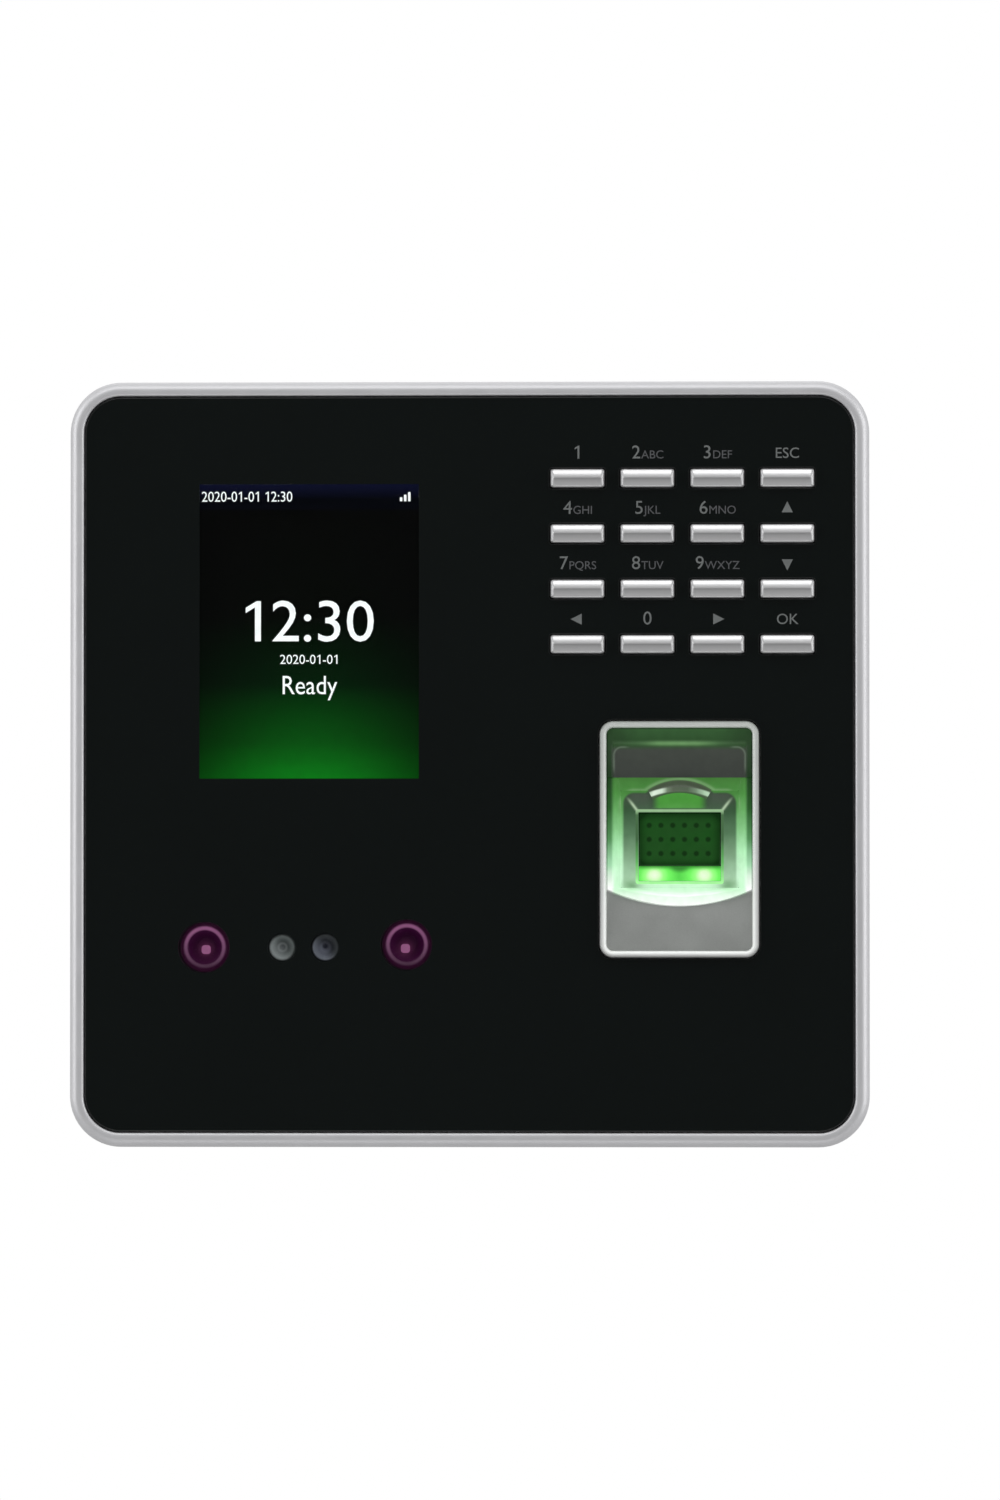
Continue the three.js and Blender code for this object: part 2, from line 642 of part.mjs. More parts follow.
function sensorImager() {
  const chip = slab(0, CASE.portY, 8, 8, CASE.back - 0.2, CASE.back + 3);
  const lens = bar(0, CASE.portY, CASE.back + 2.8, CASE.back + 7, 2.6);
  return atSensor(join(chip, lens));
}

const sensorBoard = () =>
  atSensor(slab(0, 0, CASE.width - 2, CASE.height - 4, CASE.back - 1.6, CASE.back - 0.4));

// ---------------------------------------------------------------- main board and what is on it

function mainBoard() {
  const { left, right, low, high } = BOARD;
  const sheet = block(left, right, low, high, BOARD.back, BOARD.front);
  const holes = POSTS.map(([x, y]) => bar(x, y, BOARD.back - 1, BOARD.front + 1, 1.5, 1.5, 12));
  return cut(sheet, ...holes);
}

const JACK_MOUTH = BAY.top + 0.2; // the jacks' mouths look down into the bay

function jackBody({ x, width, height, depth }) {
  const high = BOARD.back - 0.1;
  return block(x - width / 2, x + width / 2, JACK_MOUTH, JACK_MOUTH + depth, high - height, high);
}

function rj45Jack() {
  const { x, height } = JACKS.rj45;
  const middle = BOARD.back - height / 2;
  const mouth = block(x - 5.9, x + 5.9, JACK_MOUTH - 1, JACK_MOUTH + 12, middle - 4.1, middle + 3.4);
  const latch = block(x - 3.2, x + 3.2, JACK_MOUTH - 1, JACK_MOUTH + 12, middle - 5.5, middle - 4);
  return cut(jackBody(JACKS.rj45), mouth, latch);
}

function dcJack() {
  const { x, height } = JACKS.dc;
  const middle = BOARD.back - height / 2;
  const mouth = upright(x, middle, JACK_MOUTH - 1, JACK_MOUTH + 9, 3.2);
  const pin = upright(x, middle, JACK_MOUTH + 1, JACK_MOUTH + 10, 1, 12);
  return join(cut(jackBody(JACKS.dc), mouth), pin);
}

function terminalBlock() {
  const { x, width, height } = JACKS.terminals;
  const ways = [0, 1, 2, 3].map((i) => x - width / 2 + ((i + 0.5) * width) / 4);
  const middle = BOARD.back - height / 2;
  const mouths = ways.map((way) =>
    block(way - 0.95, way + 0.95, JACK_MOUTH - 1, JACK_MOUTH + 5, middle - 1.2, middle + 1.6),
  );
  const low = BOARD.back - height;
  const screws = ways.map((way) => bar(way, JACK_MOUTH + 3.4, low - 1, low + 0.9, 0.9, 0.9, 10));
  return cut(jackBody(JACKS.terminals), ...mouths, ...screws);
}

const USB_MOUTH = -HEIGHT / 2 + 1.6;
const USB_Z = BOARD.back - 0.1 - USB.height / 2;

function usbPort() {
  const { x, depth } = USB;
  const shape = (inset, low, high) => {
    const [halfX, halfZ] = [USB.width / 2 - inset, USB.height / 2 - inset];
    return block(x - halfX, x + halfX, USB_MOUTH + low, USB_MOUTH + high, USB_Z - halfZ, USB_Z + halfZ);
  };
  const tongue = block(x - 5, x + 5, USB_MOUTH + 0.6, USB_MOUTH + 10, USB_Z + 0.2, USB_Z + 1.9);
  return join(cut(shape(0, 0, depth), shape(0.4, -1, 9)), tongue);
}

function resetSwitch() {
  const { x, y, z } = RESET;
  const body = block(x - 3, x + 3, y, y + 4, z - 2.3, BOARD.back - 0.1);
  return cut(body, upright(x, z, y - 1, y + 2, 1.3, 12));
}

const resetPlunger = () => upright(RESET.x, RESET.z, RESET.y - 0.8, RESET.y + 1.4, 1.05, 12);

function tamperSwitch() {
  const { x, y, socket } = TAMPER;
  const body = slab(x, y, 8, 8, socket, BOARD.back - 0.1);
  return cut(body, bar(x, y, socket - 1, BOARD.back - 0.8, 1.75));
}

function tamperPlunger() {
  const { x, y, socket, travel } = TAMPER;
  const stop = SHELL.inside + travel + 0.15; // the collar meets the shell when the plunger is out
  return join(bar(x, y, PLATE.back + 0.1, socket + 2.5, 1.5), bar(x, y, stop, stop + 1.15, 2.9));
}

const processorShield = () => slab(-20, 9, 30, 26, BOARD.front + 0.1, BOARD.front + 2.8);

const CELL = { x: -44, y: 36, radius: 10, thick: 3.2 }; // a 20 mm coin cell

function coinCellHolder() {
  const { x, y } = CELL;
  const body = slab(x, y, 24, 22, BOARD.front + 0.1, BOARD.front + 3.9);
  const room = [BOARD.front + 0.9, BOARD.front + 6];
  const well = bar(x, y, ...room, CELL.radius + SLIP);
  const gap = block(x - 5, x + 5, y + 5, y + 12, ...room);
  return cut(body, well, gap);
}

const coinCell = () => bar(CELL.x, CELL.y, BOARD.front + 1, BOARD.front + 1 + CELL.thick, CELL.radius);

function speaker() {
  const low = -HEIGHT / 2 + 3.9;
  const { x, width, height, depth, z } = SPEAKER;
  const [halfX, halfZ] = [width / 2, height / 2];
  const basket = block(x - halfX, x + halfX, low, low + depth, z - halfZ, z + halfZ);
  const cone = block(x - halfX + 2, x + halfX - 2, low - 1, low + 1.2, z - halfZ + 2, z + halfZ - 2);
  const magnet = upright(x, z, low + depth - 0.5, low + depth + 2.5, 5);
  return join(cut(basket, cone), magnet);
}

// ---------------------------------------------------------------- back shell and wall plate

// Straight-sided trough with walls, joined to the shell from outside: [outer block, room in it].
function troughParts(left, right, low, high, wall, roof) {
  const outer = block(left - wall, right + wall, low - wall, high + wall, SHELL.seat, roof + wall);
  const room = block(left, right, low, high, -1, roof);
  return [outer, room];
}

function rearShell() {
  const skin = loft(
    [
      ringAt(SHELL.rim, 6.2),
      ringAt(SHELL.rim + 0.8, 5.2),
      ringAt(SHELL.bevelTop, 1.3),
      ringAt(SHELL.split, 0.6),
    ],
    FINE_STEPS,
  );
  const tongue = loft([ringAt(SHELL.split - 3, 2.2), ringAt(SHELL.tongue, 2.2)]);
  const hollow = loft([
    ringAt(SHELL.inside, 6.4),
    ringAt(SHELL.bevelTop + 0.5, 3.6),
    ringAt(SHELL.tongue + 1, 3.2),
  ]);
  const seat = pad(0, MOUNT.y, MOUNT.width + 1, MOUNT.height + 1, MOUNT.corner + 0.5, -1, SHELL.seat);

  const [bay, bayRoom] = troughParts(BAY.left, BAY.right, BAY.bottom, BAY.top, BAY.wall, BAY.roof);
  const tabSides = [LOCK.x - LOCK.tab / 2 - 1, LOCK.x + LOCK.tab / 2 + 1];
  const [tabBox, tabRoom] = troughParts(...tabSides, PLATE_FOOT - 0.6, PLATE_FOOT + 1.7, 1.4, 9.4);
  const lockBoss = block(LOCK.x - 4.5, LOCK.x + 4.5, LOCK.head - 2, PLATE_FOOT, 2.4, 8.6);
  const lockHoles = [
    upright(LOCK.x, LOCK.z, -HEIGHT / 2 - 1, LOCK.head, 3.1),
    upright(LOCK.x, LOCK.z, -HEIGHT / 2 - 1, PLATE_FOOT + 1, 1.7),
  ];

  const bossHoles = fourWays(BOSSES.x, BOSSES.y).flatMap(([x, y]) => [
    bar(x, y, -1, BOSSES.seat, 2.95),
    bar(x, y, -1, BOSSES.foot + 1, 1.7),
  ]);
  const bosses = fourWays(BOSSES.x, BOSSES.y).map(([x, y]) => bar(x, y, 3, BOSSES.foot, 4.3));
  const { headR, headRoom } = WALL_SCREWS;
  const screwPlaces = fourWays(WALL_SCREWS.x, WALL_SCREWS.y).map(([x, y]) => [x, WALL_SCREWS.middle + y]);
  const headCups = screwPlaces.map(([x, y]) => bar(x, y, 3, headRoom + 1.4, headR + 1.4));
  const headRooms = screwPlaces.map(([x, y]) => bar(x, y, -1, headRoom, headR));
  const posts = POSTS.map(([x, y]) =>
    join(bar(x, y, 3, BOARD.back - 0.1, 2.5), bar(x, y, BOARD.back - 1, BOARD.front + 0.8, 1.25, 1.25, 12)),
  );

  const jackHoles = Object.values(JACKS).map(({ x, width, height }) => {
    const [left, right] = [x - width / 2 - CLEAR, x + width / 2 + CLEAR];
    return block(left, right, BAY.top - 1, BAY.top + 3, BOARD.back - height - 0.4, BOARD.back + 1);
  });
  const hookSlots = HOOKS.xs.map((x) => {
    const [left, right] = [x - HOOKS.width / 2 - 1, x + HOOKS.width / 2 + 1];
    return block(left, right, HOOKS.neck - 6.5, HOOKS.neck + SLIP, -1, SHELL.inside + 1);
  });
  const usbHole = block(
    USB.x - USB.width / 2 - CLEAR,
    USB.x + USB.width / 2 + CLEAR,
    -HEIGHT / 2 - 1,
    -HEIGHT / 2 + 5,
    USB_Z - USB.height / 2 - CLEAR,
    USB_Z + USB.height / 2 + CLEAR,
  );
  const resetHole = upright(RESET.x, RESET.z, -HEIGHT / 2 - 1, RESET.y - 1, 1.1, 12);
  const soundSlots = [-3, -2, -1, 0, 1, 2, 3].map((i) => {
    const x = SPEAKER.x + i * 3.4;
    return block(x - 0.75, x + 0.75, -HEIGHT / 2 - 1, -69, SPEAKER.z - 3.8, SPEAKER.z + 3.8);
  });
  const tamperHole = bar(TAMPER.x, TAMPER.y, -1, SHELL.inside + 1, 2.1);

  const shell = cut(join(skin, tongue), hollow);
  const inner = join(shell, bay, tabBox, lockBoss, ...bosses, ...posts, ...headCups);
  const holes = [...lockHoles, ...bossHoles, ...jackHoles, ...hookSlots, ...headRooms];
  const openings = [seat, bayRoom, tabRoom, ...holes];
  return cut(inner, ...openings, usbHole, resetHole, ...soundSlots, tamperHole);
}

const CROSS = [3.2, 0.7]; // length and width of a screw's cross recess

function shellScrew(x, y) {
  const head = bar(x, y, BOSSES.seat - 2.1, BOSSES.seat - 0.1, 2.7);
  const shank = bar(x, y, BOSSES.seat - 0.5, SHELL.split - 0.5, 1.4);
  const cross = [CROSS, [...CROSS].reverse()].map(([long, wide]) =>
    slab(x, y, long, wide, 0, BOSSES.seat - 1.1),
  );
  return cut(join(head, shank), ...cross);
}

function lockScrew() {
  const { x, z, head: seat } = LOCK;
  const head = upright(x, z, seat - 2, seat - 0.1, 2.8);
  const shank = upright(x, z, seat - 0.5, PLATE_FOOT + 1.5, 1.4);
  const cross = [CROSS, [...CROSS].reverse()].map(([long, wide]) =>
    block(x - long / 2, x + long / 2, seat - 3, seat - 1.1, z - wide / 2, z + wide / 2),
  );
  return cut(join(head, shank), ...cross);
}

function wallPlate() {
  const sheet = pad(0, MOUNT.y, MOUNT.width, MOUNT.height, MOUNT.corner, PLATE.back, PLATE.front);
  const through = [PLATE.back - 1, PLATE.front + 1];
  const window = block(BAY.left + 2, BAY.right - 2, BAY.bottom + 2, BAY.top - 1, ...through);
  const screwHoles = fourWays(WALL_SCREWS.x, WALL_SCREWS.y).map(([x, y]) =>
    bar(x, WALL_SCREWS.middle + y, ...through, WALL_SCREWS.holeR),
  );
  const tamperHole = bar(TAMPER.x, TAMPER.y, ...through, 2.8);
  const hooks = HOOKS.xs.map((x) => {
    const [left, right] = [x - HOOKS.width / 2, x + HOOKS.width / 2];
    const reach = SHELL.inside + 0.3;
    const [low, tip] = [HOOKS.neck - HOOKS.thick, reach + HOOKS.thick];
    const neck = block(left, right, low, HOOKS.neck, PLATE.back + 0.5, tip);
    const lip = block(left, right, low, HOOKS.neck + HOOKS.lip, reach, tip);
    return join(neck, lip);
  });
  const halfTab = LOCK.tab / 2;
  const tab = block(LOCK.x - halfTab, LOCK.x + halfTab, PLATE_FOOT, PLATE_FOOT + 1.3, PLATE.back, 8.8);
  const thread = upright(LOCK.x, LOCK.z, PLATE_FOOT - 1, PLATE_FOOT + 3, 1.55);
  return cut(join(cut(sheet, window, ...screwHoles, tamperHole), ...hooks, tab), thread);
}

// ---------------------------------------------------------------- the assembly

addPart(front, "front_housing", frontHousing(), MATERIAL.silverPaint);
addPart(front, "front_panel", frontPanel(), MATERIAL.panelBlack);
addPart(front, "screen_window", screenWindow(), MATERIAL.clear);
addPart(front, "eye_window", eyeWindow(), MATERIAL.clear);

keyPlaces().forEach(({ name, x, y }) => addPart(front, name, keyCap(x, y), MATERIAL.keySilver));
addPart(front, "key_mat", keyMat(), MATERIAL.silicone);
addPart(front, "key_board", keyBoard(), MATERIAL.board);

addPart(front, "lcd_frame", lcdFrame(), MATERIAL.steel);
addPart(front, "lcd_panel", lcdPanel(), MATERIAL.picture);
addPart(front, "lcd_cable", lcdCable(), MATERIAL.film);

addPart(front, "eye_board", eyeBoard(), MATERIAL.board);
addPart(front, "camera_left", cameraModule(EYES.cameras[0]), MATERIAL.lens);
addPart(front, "camera_right", cameraModule(EYES.cameras[1]), MATERIAL.lens);
addPart(front, "ir_lamp_left", lampModule(EYES.lamps[0]), MATERIAL.lamp);
addPart(front, "ir_lamp_right", lampModule(EYES.lamps[1]), MATERIAL.lamp);

addPart(front, "sensor_bezel", sensorBezel(), MATERIAL.silverPaint);
addPart(front, "sensor_hood", sensorHood(), MATERIAL.hood);
addPart(front, "sensor_light_guide", sensorLightGuide(), MATERIAL.guide);
addPart(front, "sensor_block", sensorBlock(), MATERIAL.block);
addPart(front, "sensor_prism", sensorPrism(), MATERIAL.optical);
addPart(front, "sensor_led_left", sensorLed(LEDS[0]), MATERIAL.led);
addPart(front, "sensor_led_right", sensorLed(LEDS[1]), MATERIAL.led);
addPart(front, "sensor_case", sensorCase(), MATERIAL.blackPlastic);
addPart(front, "sensor_imager", sensorImager(), MATERIAL.chip);
addPart(front, "sensor_board", sensorBoard(), MATERIAL.board);

addPart(back, "main_board", mainBoard(), MATERIAL.board);
addPart(back, "rj45_jack", rj45Jack(), MATERIAL.steel);
addPart(back, "dc_jack", dcJack(), MATERIAL.blackPlastic);
addPart(back, "terminal_block", terminalBlock(), MATERIAL.green);
addPart(back, "usb_port", usbPort(), MATERIAL.steel);
addPart(back, "processor_shield", processorShield(), MATERIAL.steel);
addPart(back, "coin_cell_holder", coinCellHolder(), MATERIAL.blackPlastic);
addPart(back, "coin_cell", coinCell(), MATERIAL.steel);
addPart(back, "speaker", speaker(), MATERIAL.chip);
addPart(back, "tamper_switch", tamperSwitch(), MATERIAL.blackPlastic);
addPart(back, "tamper_plunger", tamperPlunger(), MATERIAL.white);
addPart(back, "reset_switch", resetSwitch(), MATERIAL.steel);
addPart(back, "reset_plunger", resetPlunger(), MATERIAL.white);

addPart(back, "rear_shell", rearShell(), MATERIAL.blackPlastic);
addPart(back, "wall_plate", wallPlate(), MATERIAL.steel);
addPart(back, "lock_screw", lockScrew(), MATERIAL.steel);
fourWays(BOSSES.x, BOSSES.y).forEach(([x, y], i) =>
  addPart(back, `shell_screw_${i + 1}`, shellScrew(x, y), MATERIAL.steel),
);

assembly.rotation.x = Math.PI / 2;

export default assembly;
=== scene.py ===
"""Wall-mounted fingerprint and face terminal: the visual model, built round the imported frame.

Shapes are laid out in a face frame in millimetres, with x to the right, y up and z out of the wall,
and turned into the row frame (metres, +Z up, front facing -Y) when each mesh is made.
"""

import json
import math

import bmesh
import bpy
from mathutils import Matrix, Vector
from mathutils.geometry import delaunay_2d_cdt

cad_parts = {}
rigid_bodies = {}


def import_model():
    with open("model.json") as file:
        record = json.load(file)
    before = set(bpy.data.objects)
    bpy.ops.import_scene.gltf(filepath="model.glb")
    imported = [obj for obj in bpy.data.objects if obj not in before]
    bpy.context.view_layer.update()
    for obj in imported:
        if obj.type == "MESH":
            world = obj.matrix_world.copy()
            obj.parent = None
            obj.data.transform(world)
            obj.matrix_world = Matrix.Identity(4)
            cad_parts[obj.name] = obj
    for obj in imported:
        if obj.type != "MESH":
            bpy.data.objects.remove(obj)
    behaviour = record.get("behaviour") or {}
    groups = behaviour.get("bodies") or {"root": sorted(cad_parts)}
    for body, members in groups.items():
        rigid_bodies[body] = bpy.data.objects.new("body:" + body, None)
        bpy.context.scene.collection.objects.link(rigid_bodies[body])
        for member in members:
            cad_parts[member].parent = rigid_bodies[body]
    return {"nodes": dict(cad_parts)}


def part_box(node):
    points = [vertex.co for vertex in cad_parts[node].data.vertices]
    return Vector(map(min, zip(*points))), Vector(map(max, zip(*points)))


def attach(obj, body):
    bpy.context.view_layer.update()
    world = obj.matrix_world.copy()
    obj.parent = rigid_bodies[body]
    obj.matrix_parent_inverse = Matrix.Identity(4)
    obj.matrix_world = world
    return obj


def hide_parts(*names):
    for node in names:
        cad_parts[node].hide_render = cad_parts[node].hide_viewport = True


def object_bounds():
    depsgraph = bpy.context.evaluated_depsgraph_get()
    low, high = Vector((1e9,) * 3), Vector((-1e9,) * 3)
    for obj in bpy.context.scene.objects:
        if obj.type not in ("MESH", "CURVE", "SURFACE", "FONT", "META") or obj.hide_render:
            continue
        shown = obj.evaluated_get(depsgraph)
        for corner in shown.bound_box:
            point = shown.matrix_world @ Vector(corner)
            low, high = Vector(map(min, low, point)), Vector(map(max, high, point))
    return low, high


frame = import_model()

CAD_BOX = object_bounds()
MM = 0.001
BODY = "terminal"
TO_ROW = Matrix.Rotation(math.pi / 2, 4, "X") @ Matrix.Scale(MM, 4)  # from the face frame to the row frame


class Place:
    """A node's box seen from the front, in the face frame."""

    def __init__(self, node):
        low, high = (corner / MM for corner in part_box(node))
        self.left, self.right = low.x, high.x
        self.bottom, self.top = low.z, high.z
        self.back, self.front = -high.y, -low.y
        self.x, self.y = (low.x + high.x) / 2, (low.z + high.z) / 2
        self.width, self.height = high.x - low.x, high.z - low.z


# ---- camera, light and floor

PICTURE_SHAPE = 1.5  # height of the picture over its width
VIEW_WIDTH = 0.1947  # metres across the picture, at the front of the terminal
CAMERA_AZIMUTH = 2.0
CAMERA_ELEVATION = -1.2
CAMERA_DISTANCE = 1.7
OFF_CENTRE = (0.0061, 0.0027)  # the terminal sits this far left of and below the picture's middle


def direction(azimuth, elevation):
    """From the terminal towards a viewer, in degrees to the right of and above straight ahead."""
    a, e = math.radians(azimuth), math.radians(elevation)
    return Vector((math.sin(a) * math.cos(e), -math.cos(a) * math.cos(e), math.sin(e)))


def place_looking(thing, spot, back):
    thing.location = spot
    thing.rotation_mode = "QUATERNION"
    thing.rotation_quaternion = (-back).to_track_quat("-Z", "Y")
    bpy.context.scene.collection.objects.link(thing)


def make_camera():
    low, high = CAD_BOX
    front = Vector(((low.x + high.x) / 2, low.y, (low.z + high.z) / 2))
    back = direction(CAMERA_AZIMUTH, CAMERA_ELEVATION)
    aside = (-back).to_track_quat("-Z", "Y") @ Vector((*OFF_CENTRE, 0.0))
    data = bpy.data.cameras.new("camera")
    data.sensor_width = 36.0
    data.lens = data.sensor_width * CAMERA_DISTANCE / (VIEW_WIDTH * PICTURE_SHAPE)
    data.clip_start = 0.01
    data.clip_end = 60.0
    camera = bpy.data.objects.new("camera", data)
    place_looking(camera, front + back * CAMERA_DISTANCE + aside, back)
    bpy.context.scene.camera = camera


def softbox(name, azimuth, elevation, distance, size, power):
    data = bpy.data.lights.new(name, "AREA")
    data.shape = "RECTANGLE"
    data.size, data.size_y = size
    data.energy = power
    back = direction(azimuth, elevation)
    place_looking(bpy.data.objects.new(name, data), back * distance, back)


def make_lights():
    softbox("overhead", 0, 62, 1.1, (1.3, 0.7), 5.5)
    softbox("left_side", -72, 12, 1.2, (0.6, 1.2), 6.0)
    softbox("right_side", 75, 8, 1.2, (0.6, 1.2), 6.5)
    softbox("behind_above", 180, 50, 1.4, (1.0, 1.0), 2.0)
    softbox("below", 0, -58, 1.2, (1.0, 0.5), 2.0)


def make_world():
    """White to look at, and a studio round the terminal that is dim straight ahead of its front."""
    world = bpy.data.worlds.new("studio")
    world.use_nodes = True
    bpy.context.scene.world = world
    tree = world.node_tree
    tree.nodes.clear()
    place = tree.nodes.new("ShaderNodeTexCoord")
    split = tree.nodes.new("ShaderNodeSeparateXYZ")
    ahead = tree.nodes.new("ShaderNodeMapRange")
    ahead.interpolation_type = "SMOOTHSTEP"
    for socket, value in {"From Min": -0.98, "From Max": -0.70, "To Min": 0.10, "To Max": 0.75}.items():
        ahead.inputs[socket].default_value = value
    studio = tree.nodes.new("ShaderNodeBackground")
    white = tree.nodes.new("ShaderNodeBackground")
    white.inputs["Color"].default_value = (1, 1, 1, 1)
    seen = tree.nodes.new("ShaderNodeLightPath")
    mix = tree.nodes.new("ShaderNodeMixShader")
    out = tree.nodes.new("ShaderNodeOutputWorld")
    links = [
        (place.outputs["Generated"], split.inputs[0]),
        (split.outputs["Y"], ahead.inputs["Value"]),
        (ahead.outputs["Result"], studio.inputs["Strength"]),
        (seen.outputs["Is Camera Ray"], mix.inputs["Fac"]),
        (studio.outputs[0], mix.inputs[1]),
        (white.outputs[0], mix.inputs[2]),
        (mix.outputs[0], out.inputs["Surface"]),
    ]
    for source, target in links:
        tree.links.new(source, target)


def make_floor():
    """A pale floor well below the terminal, which hangs on a wall."""
    half, drop = 7.0, 2.0
    mesh = bpy.data.meshes.new("floor")
    corners = [(-half, -half, -drop), (half, -half, -drop), (half, half, -drop), (-half, half, -drop)]
    mesh.from_pydata(corners, [], [(0, 1, 2, 3)])
    floor = bpy.data.objects.new("floor", mesh)
    bpy.context.scene.collection.objects.link(floor)
    paint = Paint("floor_paint", base_color=(0.82, 0.82, 0.82), roughness=0.7)
    mesh.materials.append(paint.material)


# ---- node materials


def srgb(red, green, blue):
    """A colour given in display values from 0 to 255."""
    return tuple(((c / 255 + 0.055) / 1.055) ** 2.4 if c > 10 else c / 3295 for c in (red, green, blue))


class Paint:
    """A material under construction: a Principled shader and the nodes that feed it. Lengths in mm."""

    def __init__(self, name, **sockets):
        self.material = bpy.data.materials.new(name)
        self.material.use_nodes = True
        self.tree = self.material.node_tree
        self.shader = self.tree.nodes["Principled BSDF"]
        for socket, value in sockets.items():
            self.set(socket, value)

    def set(self, socket, value):
        """Sets or links a socket of the shader, named like base_color or coat_weight."""
        name = socket.replace("_", " ").title().replace("Ior", "IOR")
        self.feed(self.shader.inputs[name], value)

    def feed(self, socket, value):
        if isinstance(value, bpy.types.NodeSocket):
            self.tree.links.new(value, socket)
        elif isinstance(value, (tuple, list)):
            socket.default_value = (*value, 1.0)[: len(socket.default_value)]
        else:
            socket.default_value = value

    def node(self, kind, inputs=(), **settings):
        made = self.tree.nodes.new("ShaderNode" + kind)
        for setting, value in settings.items():
            setattr(made, setting, value)
        for socket, value in dict(inputs).items():
            self.feed(made.inputs[socket], value)
        return made

    def math(self, operation, *values):
        return self.node("Math", enumerate(values), operation=operation).outputs[0]

    def chain(self, operation, values):
        total = values[0]
        for value in values[1:]:
            total = self.math(operation, total, value)
        return total

    def add(self, *values):
        return self.chain("ADD", values)

    def times(self, *values):
        return self.chain("MULTIPLY", values)

    def minus(self, first, second):
        return self.math("SUBTRACT", first, second)

    def size(self, value):
        return self.math("ABSOLUTE", value)

    def over(self, value, least):
        """How far a value exceeds a least one, or 0 below that."""
        return self.math("MAXIMUM", self.minus(value, least), 0.0)

    def place(self, x=0.0, y=0.0):
        """Where a point lies in the face frame, in mm from a middle: sockets for x, y and z."""
        where = self.node("TexCoord").outputs["Object"]
        row_x, row_y, row_z = self.node("SeparateXYZ", {0: where}).outputs
        from_x = self.minus(self.times(row_x, 1 / MM), x)
        from_y = self.minus(self.times(row_z, 1 / MM), y)
        return from_x, from_y, self.times(row_y, -1 / MM)

    def away(self, x, y):
        """The distance from the origin of two sockets."""
        return self.math("SQRT", self.add(self.times(x, x), self.times(y, y)))

    def outside(self, x, y, half_w, half_h, radius):
        """How far a point lies outside a rounded rectangle about the origin."""
        beyond = self.over(self.size(x), half_w - radius), self.over(self.size(y), half_h - radius)
        return self.minus(self.away(*beyond), radius)

    def hump(self, value, middle, wide):
        """A bell curve from 0 to 1 and back."""
        off = self.math("DIVIDE", self.minus(value, middle), wide)
        return self.math("EXPONENT", self.times(off, off, -1.0))

    def noise(self, size, detail=2.0, stretch=(1, 1, 1)):
        """Noise whose features are about size across."""
        where = self.node("TexCoord").outputs["Object"]
        scale = tuple(s / (size * MM) for s in stretch)
        scaled = self.node("Mapping", {"Vector": where, "Scale": scale})
        inputs = {"Vector": scaled.outputs[0], "Scale": 1.0, "Detail": detail}
        return self.node("TexNoise", inputs).outputs["Fac"]

    def step(self, value, low, high, to_low=0.0, to_high=1.0):
        """A smooth step from to_low to to_high, as the value goes from low to high."""
        inputs = {0: value, 1: low, 2: high, 3: to_low, 4: to_high}
        return self.node("MapRange", inputs, interpolation_type="SMOOTHSTEP").outputs[0]

    def fall(self, value, low, high):
        return self.step(value, low, high, 1.0, 0.0)

    def slope(self, value, low, high, to_low=0.0, to_high=1.0):
        inputs = {0: value, 1: low, 2: high, 3: to_low, 4: to_high}
        return self.node("MapRange", inputs).outputs[0]

    def blend(self, amount, first, second):
        return self.node("Mix", {0: amount, 6: first, 7: second}, data_type="RGBA").outputs[2]

    def ramp(self, value, stops):
        """Colours at given values, in rising order."""
        low, high = stops[0][0], stops[-1][0]
        made = self.node("ValToRGB", {0: self.slope(value, low, high)})
        elements = made.color_ramp.elements
        while len(elements) < len(stops):
            elements.new(0.5)
        for element, (position, color) in zip(elements, stops):
            element.position = (position - low) / (high - low)
            element.color = (*color, 1.0)
        return made.outputs["Color"]

    def shades(self, value, rows):
        """A ramp from rows of a value and a colour in display values."""
        return self.ramp(value, [(at, srgb(*color)) for at, *color in rows])

    def bump(self, height, depth):
        made = self.node("Bump", {"Strength": 0.3, "Distance": depth * MM, "Height": height})
        self.set("normal", made.outputs[0])


def surface(name, color, rough, metal=0.0, mottle=0.08, patch=6.0, grain=0.25, depth=0.01, **settings):
    """A moulded, painted or metal surface: slow changes of tone and gloss, and a fine grain."""
    stretch = settings.pop("stretch", (1, 1, 1))
    paint = Paint(name, metallic=metal, **settings)
    fine = paint.noise(grain, 2.0, stretch)
    tone = paint.add(paint.times(paint.noise(patch, 3.0), 0.6), paint.times(fine, 0.4))
    darker = tuple(c * (1 - mottle) for c in color)
    lighter = tuple(min(1.0, c * (1 + mottle)) for c in color)
    paint.set("base_color", paint.ramp(tone, [(0.3, darker), (0.7, lighter)]))
    paint.set("roughness", paint.slope(tone, 0.3, 0.7, rough * 0.88, rough * 1.12))
    paint.bump(fine, depth)
    return paint


def unlit(name, color, rough, shine):
    """A nearly black surface for a glow."""
    return Paint(name, base_color=color, roughness=rough, specular_ior_level=shine)


def glowing(paint, color, strength=1.0):
    """Adds a glow of the given colour, a little uneven: a lamp's own light, or light and shade painted into
    a surface.
    """
    uneven = paint.slope(paint.noise(1.8), 0.3, 0.7, strength * 0.94, strength * 1.06)
    paint.set("emission_color", color)
    paint.set("emission_strength", uneven)
    return paint


# ---- shapes


def rounded(x, y, width, height, radius, steps=8):
    """An outline: given how far it grows, the points round a rounded rectangle, counter-clockwise."""

    def points(grow=0.0):
        r = max(radius + grow, 0.02)
        half_w, half_h = width / 2 + grow - r, height / 2 + grow - r
        made = []
        for corner, (side_x, side_y) in enumerate([(1, 1), (-1, 1), (-1, -1), (1, -1)]):
            middle_x, middle_y = x + side_x * half_w, y + side_y * half_h
            for step in range(steps + 1):
                angle = (corner + step / steps) * math.pi / 2
                made.append((middle_x + r * math.cos(angle), middle_y + r * math.sin(angle)))
        return made

    return points


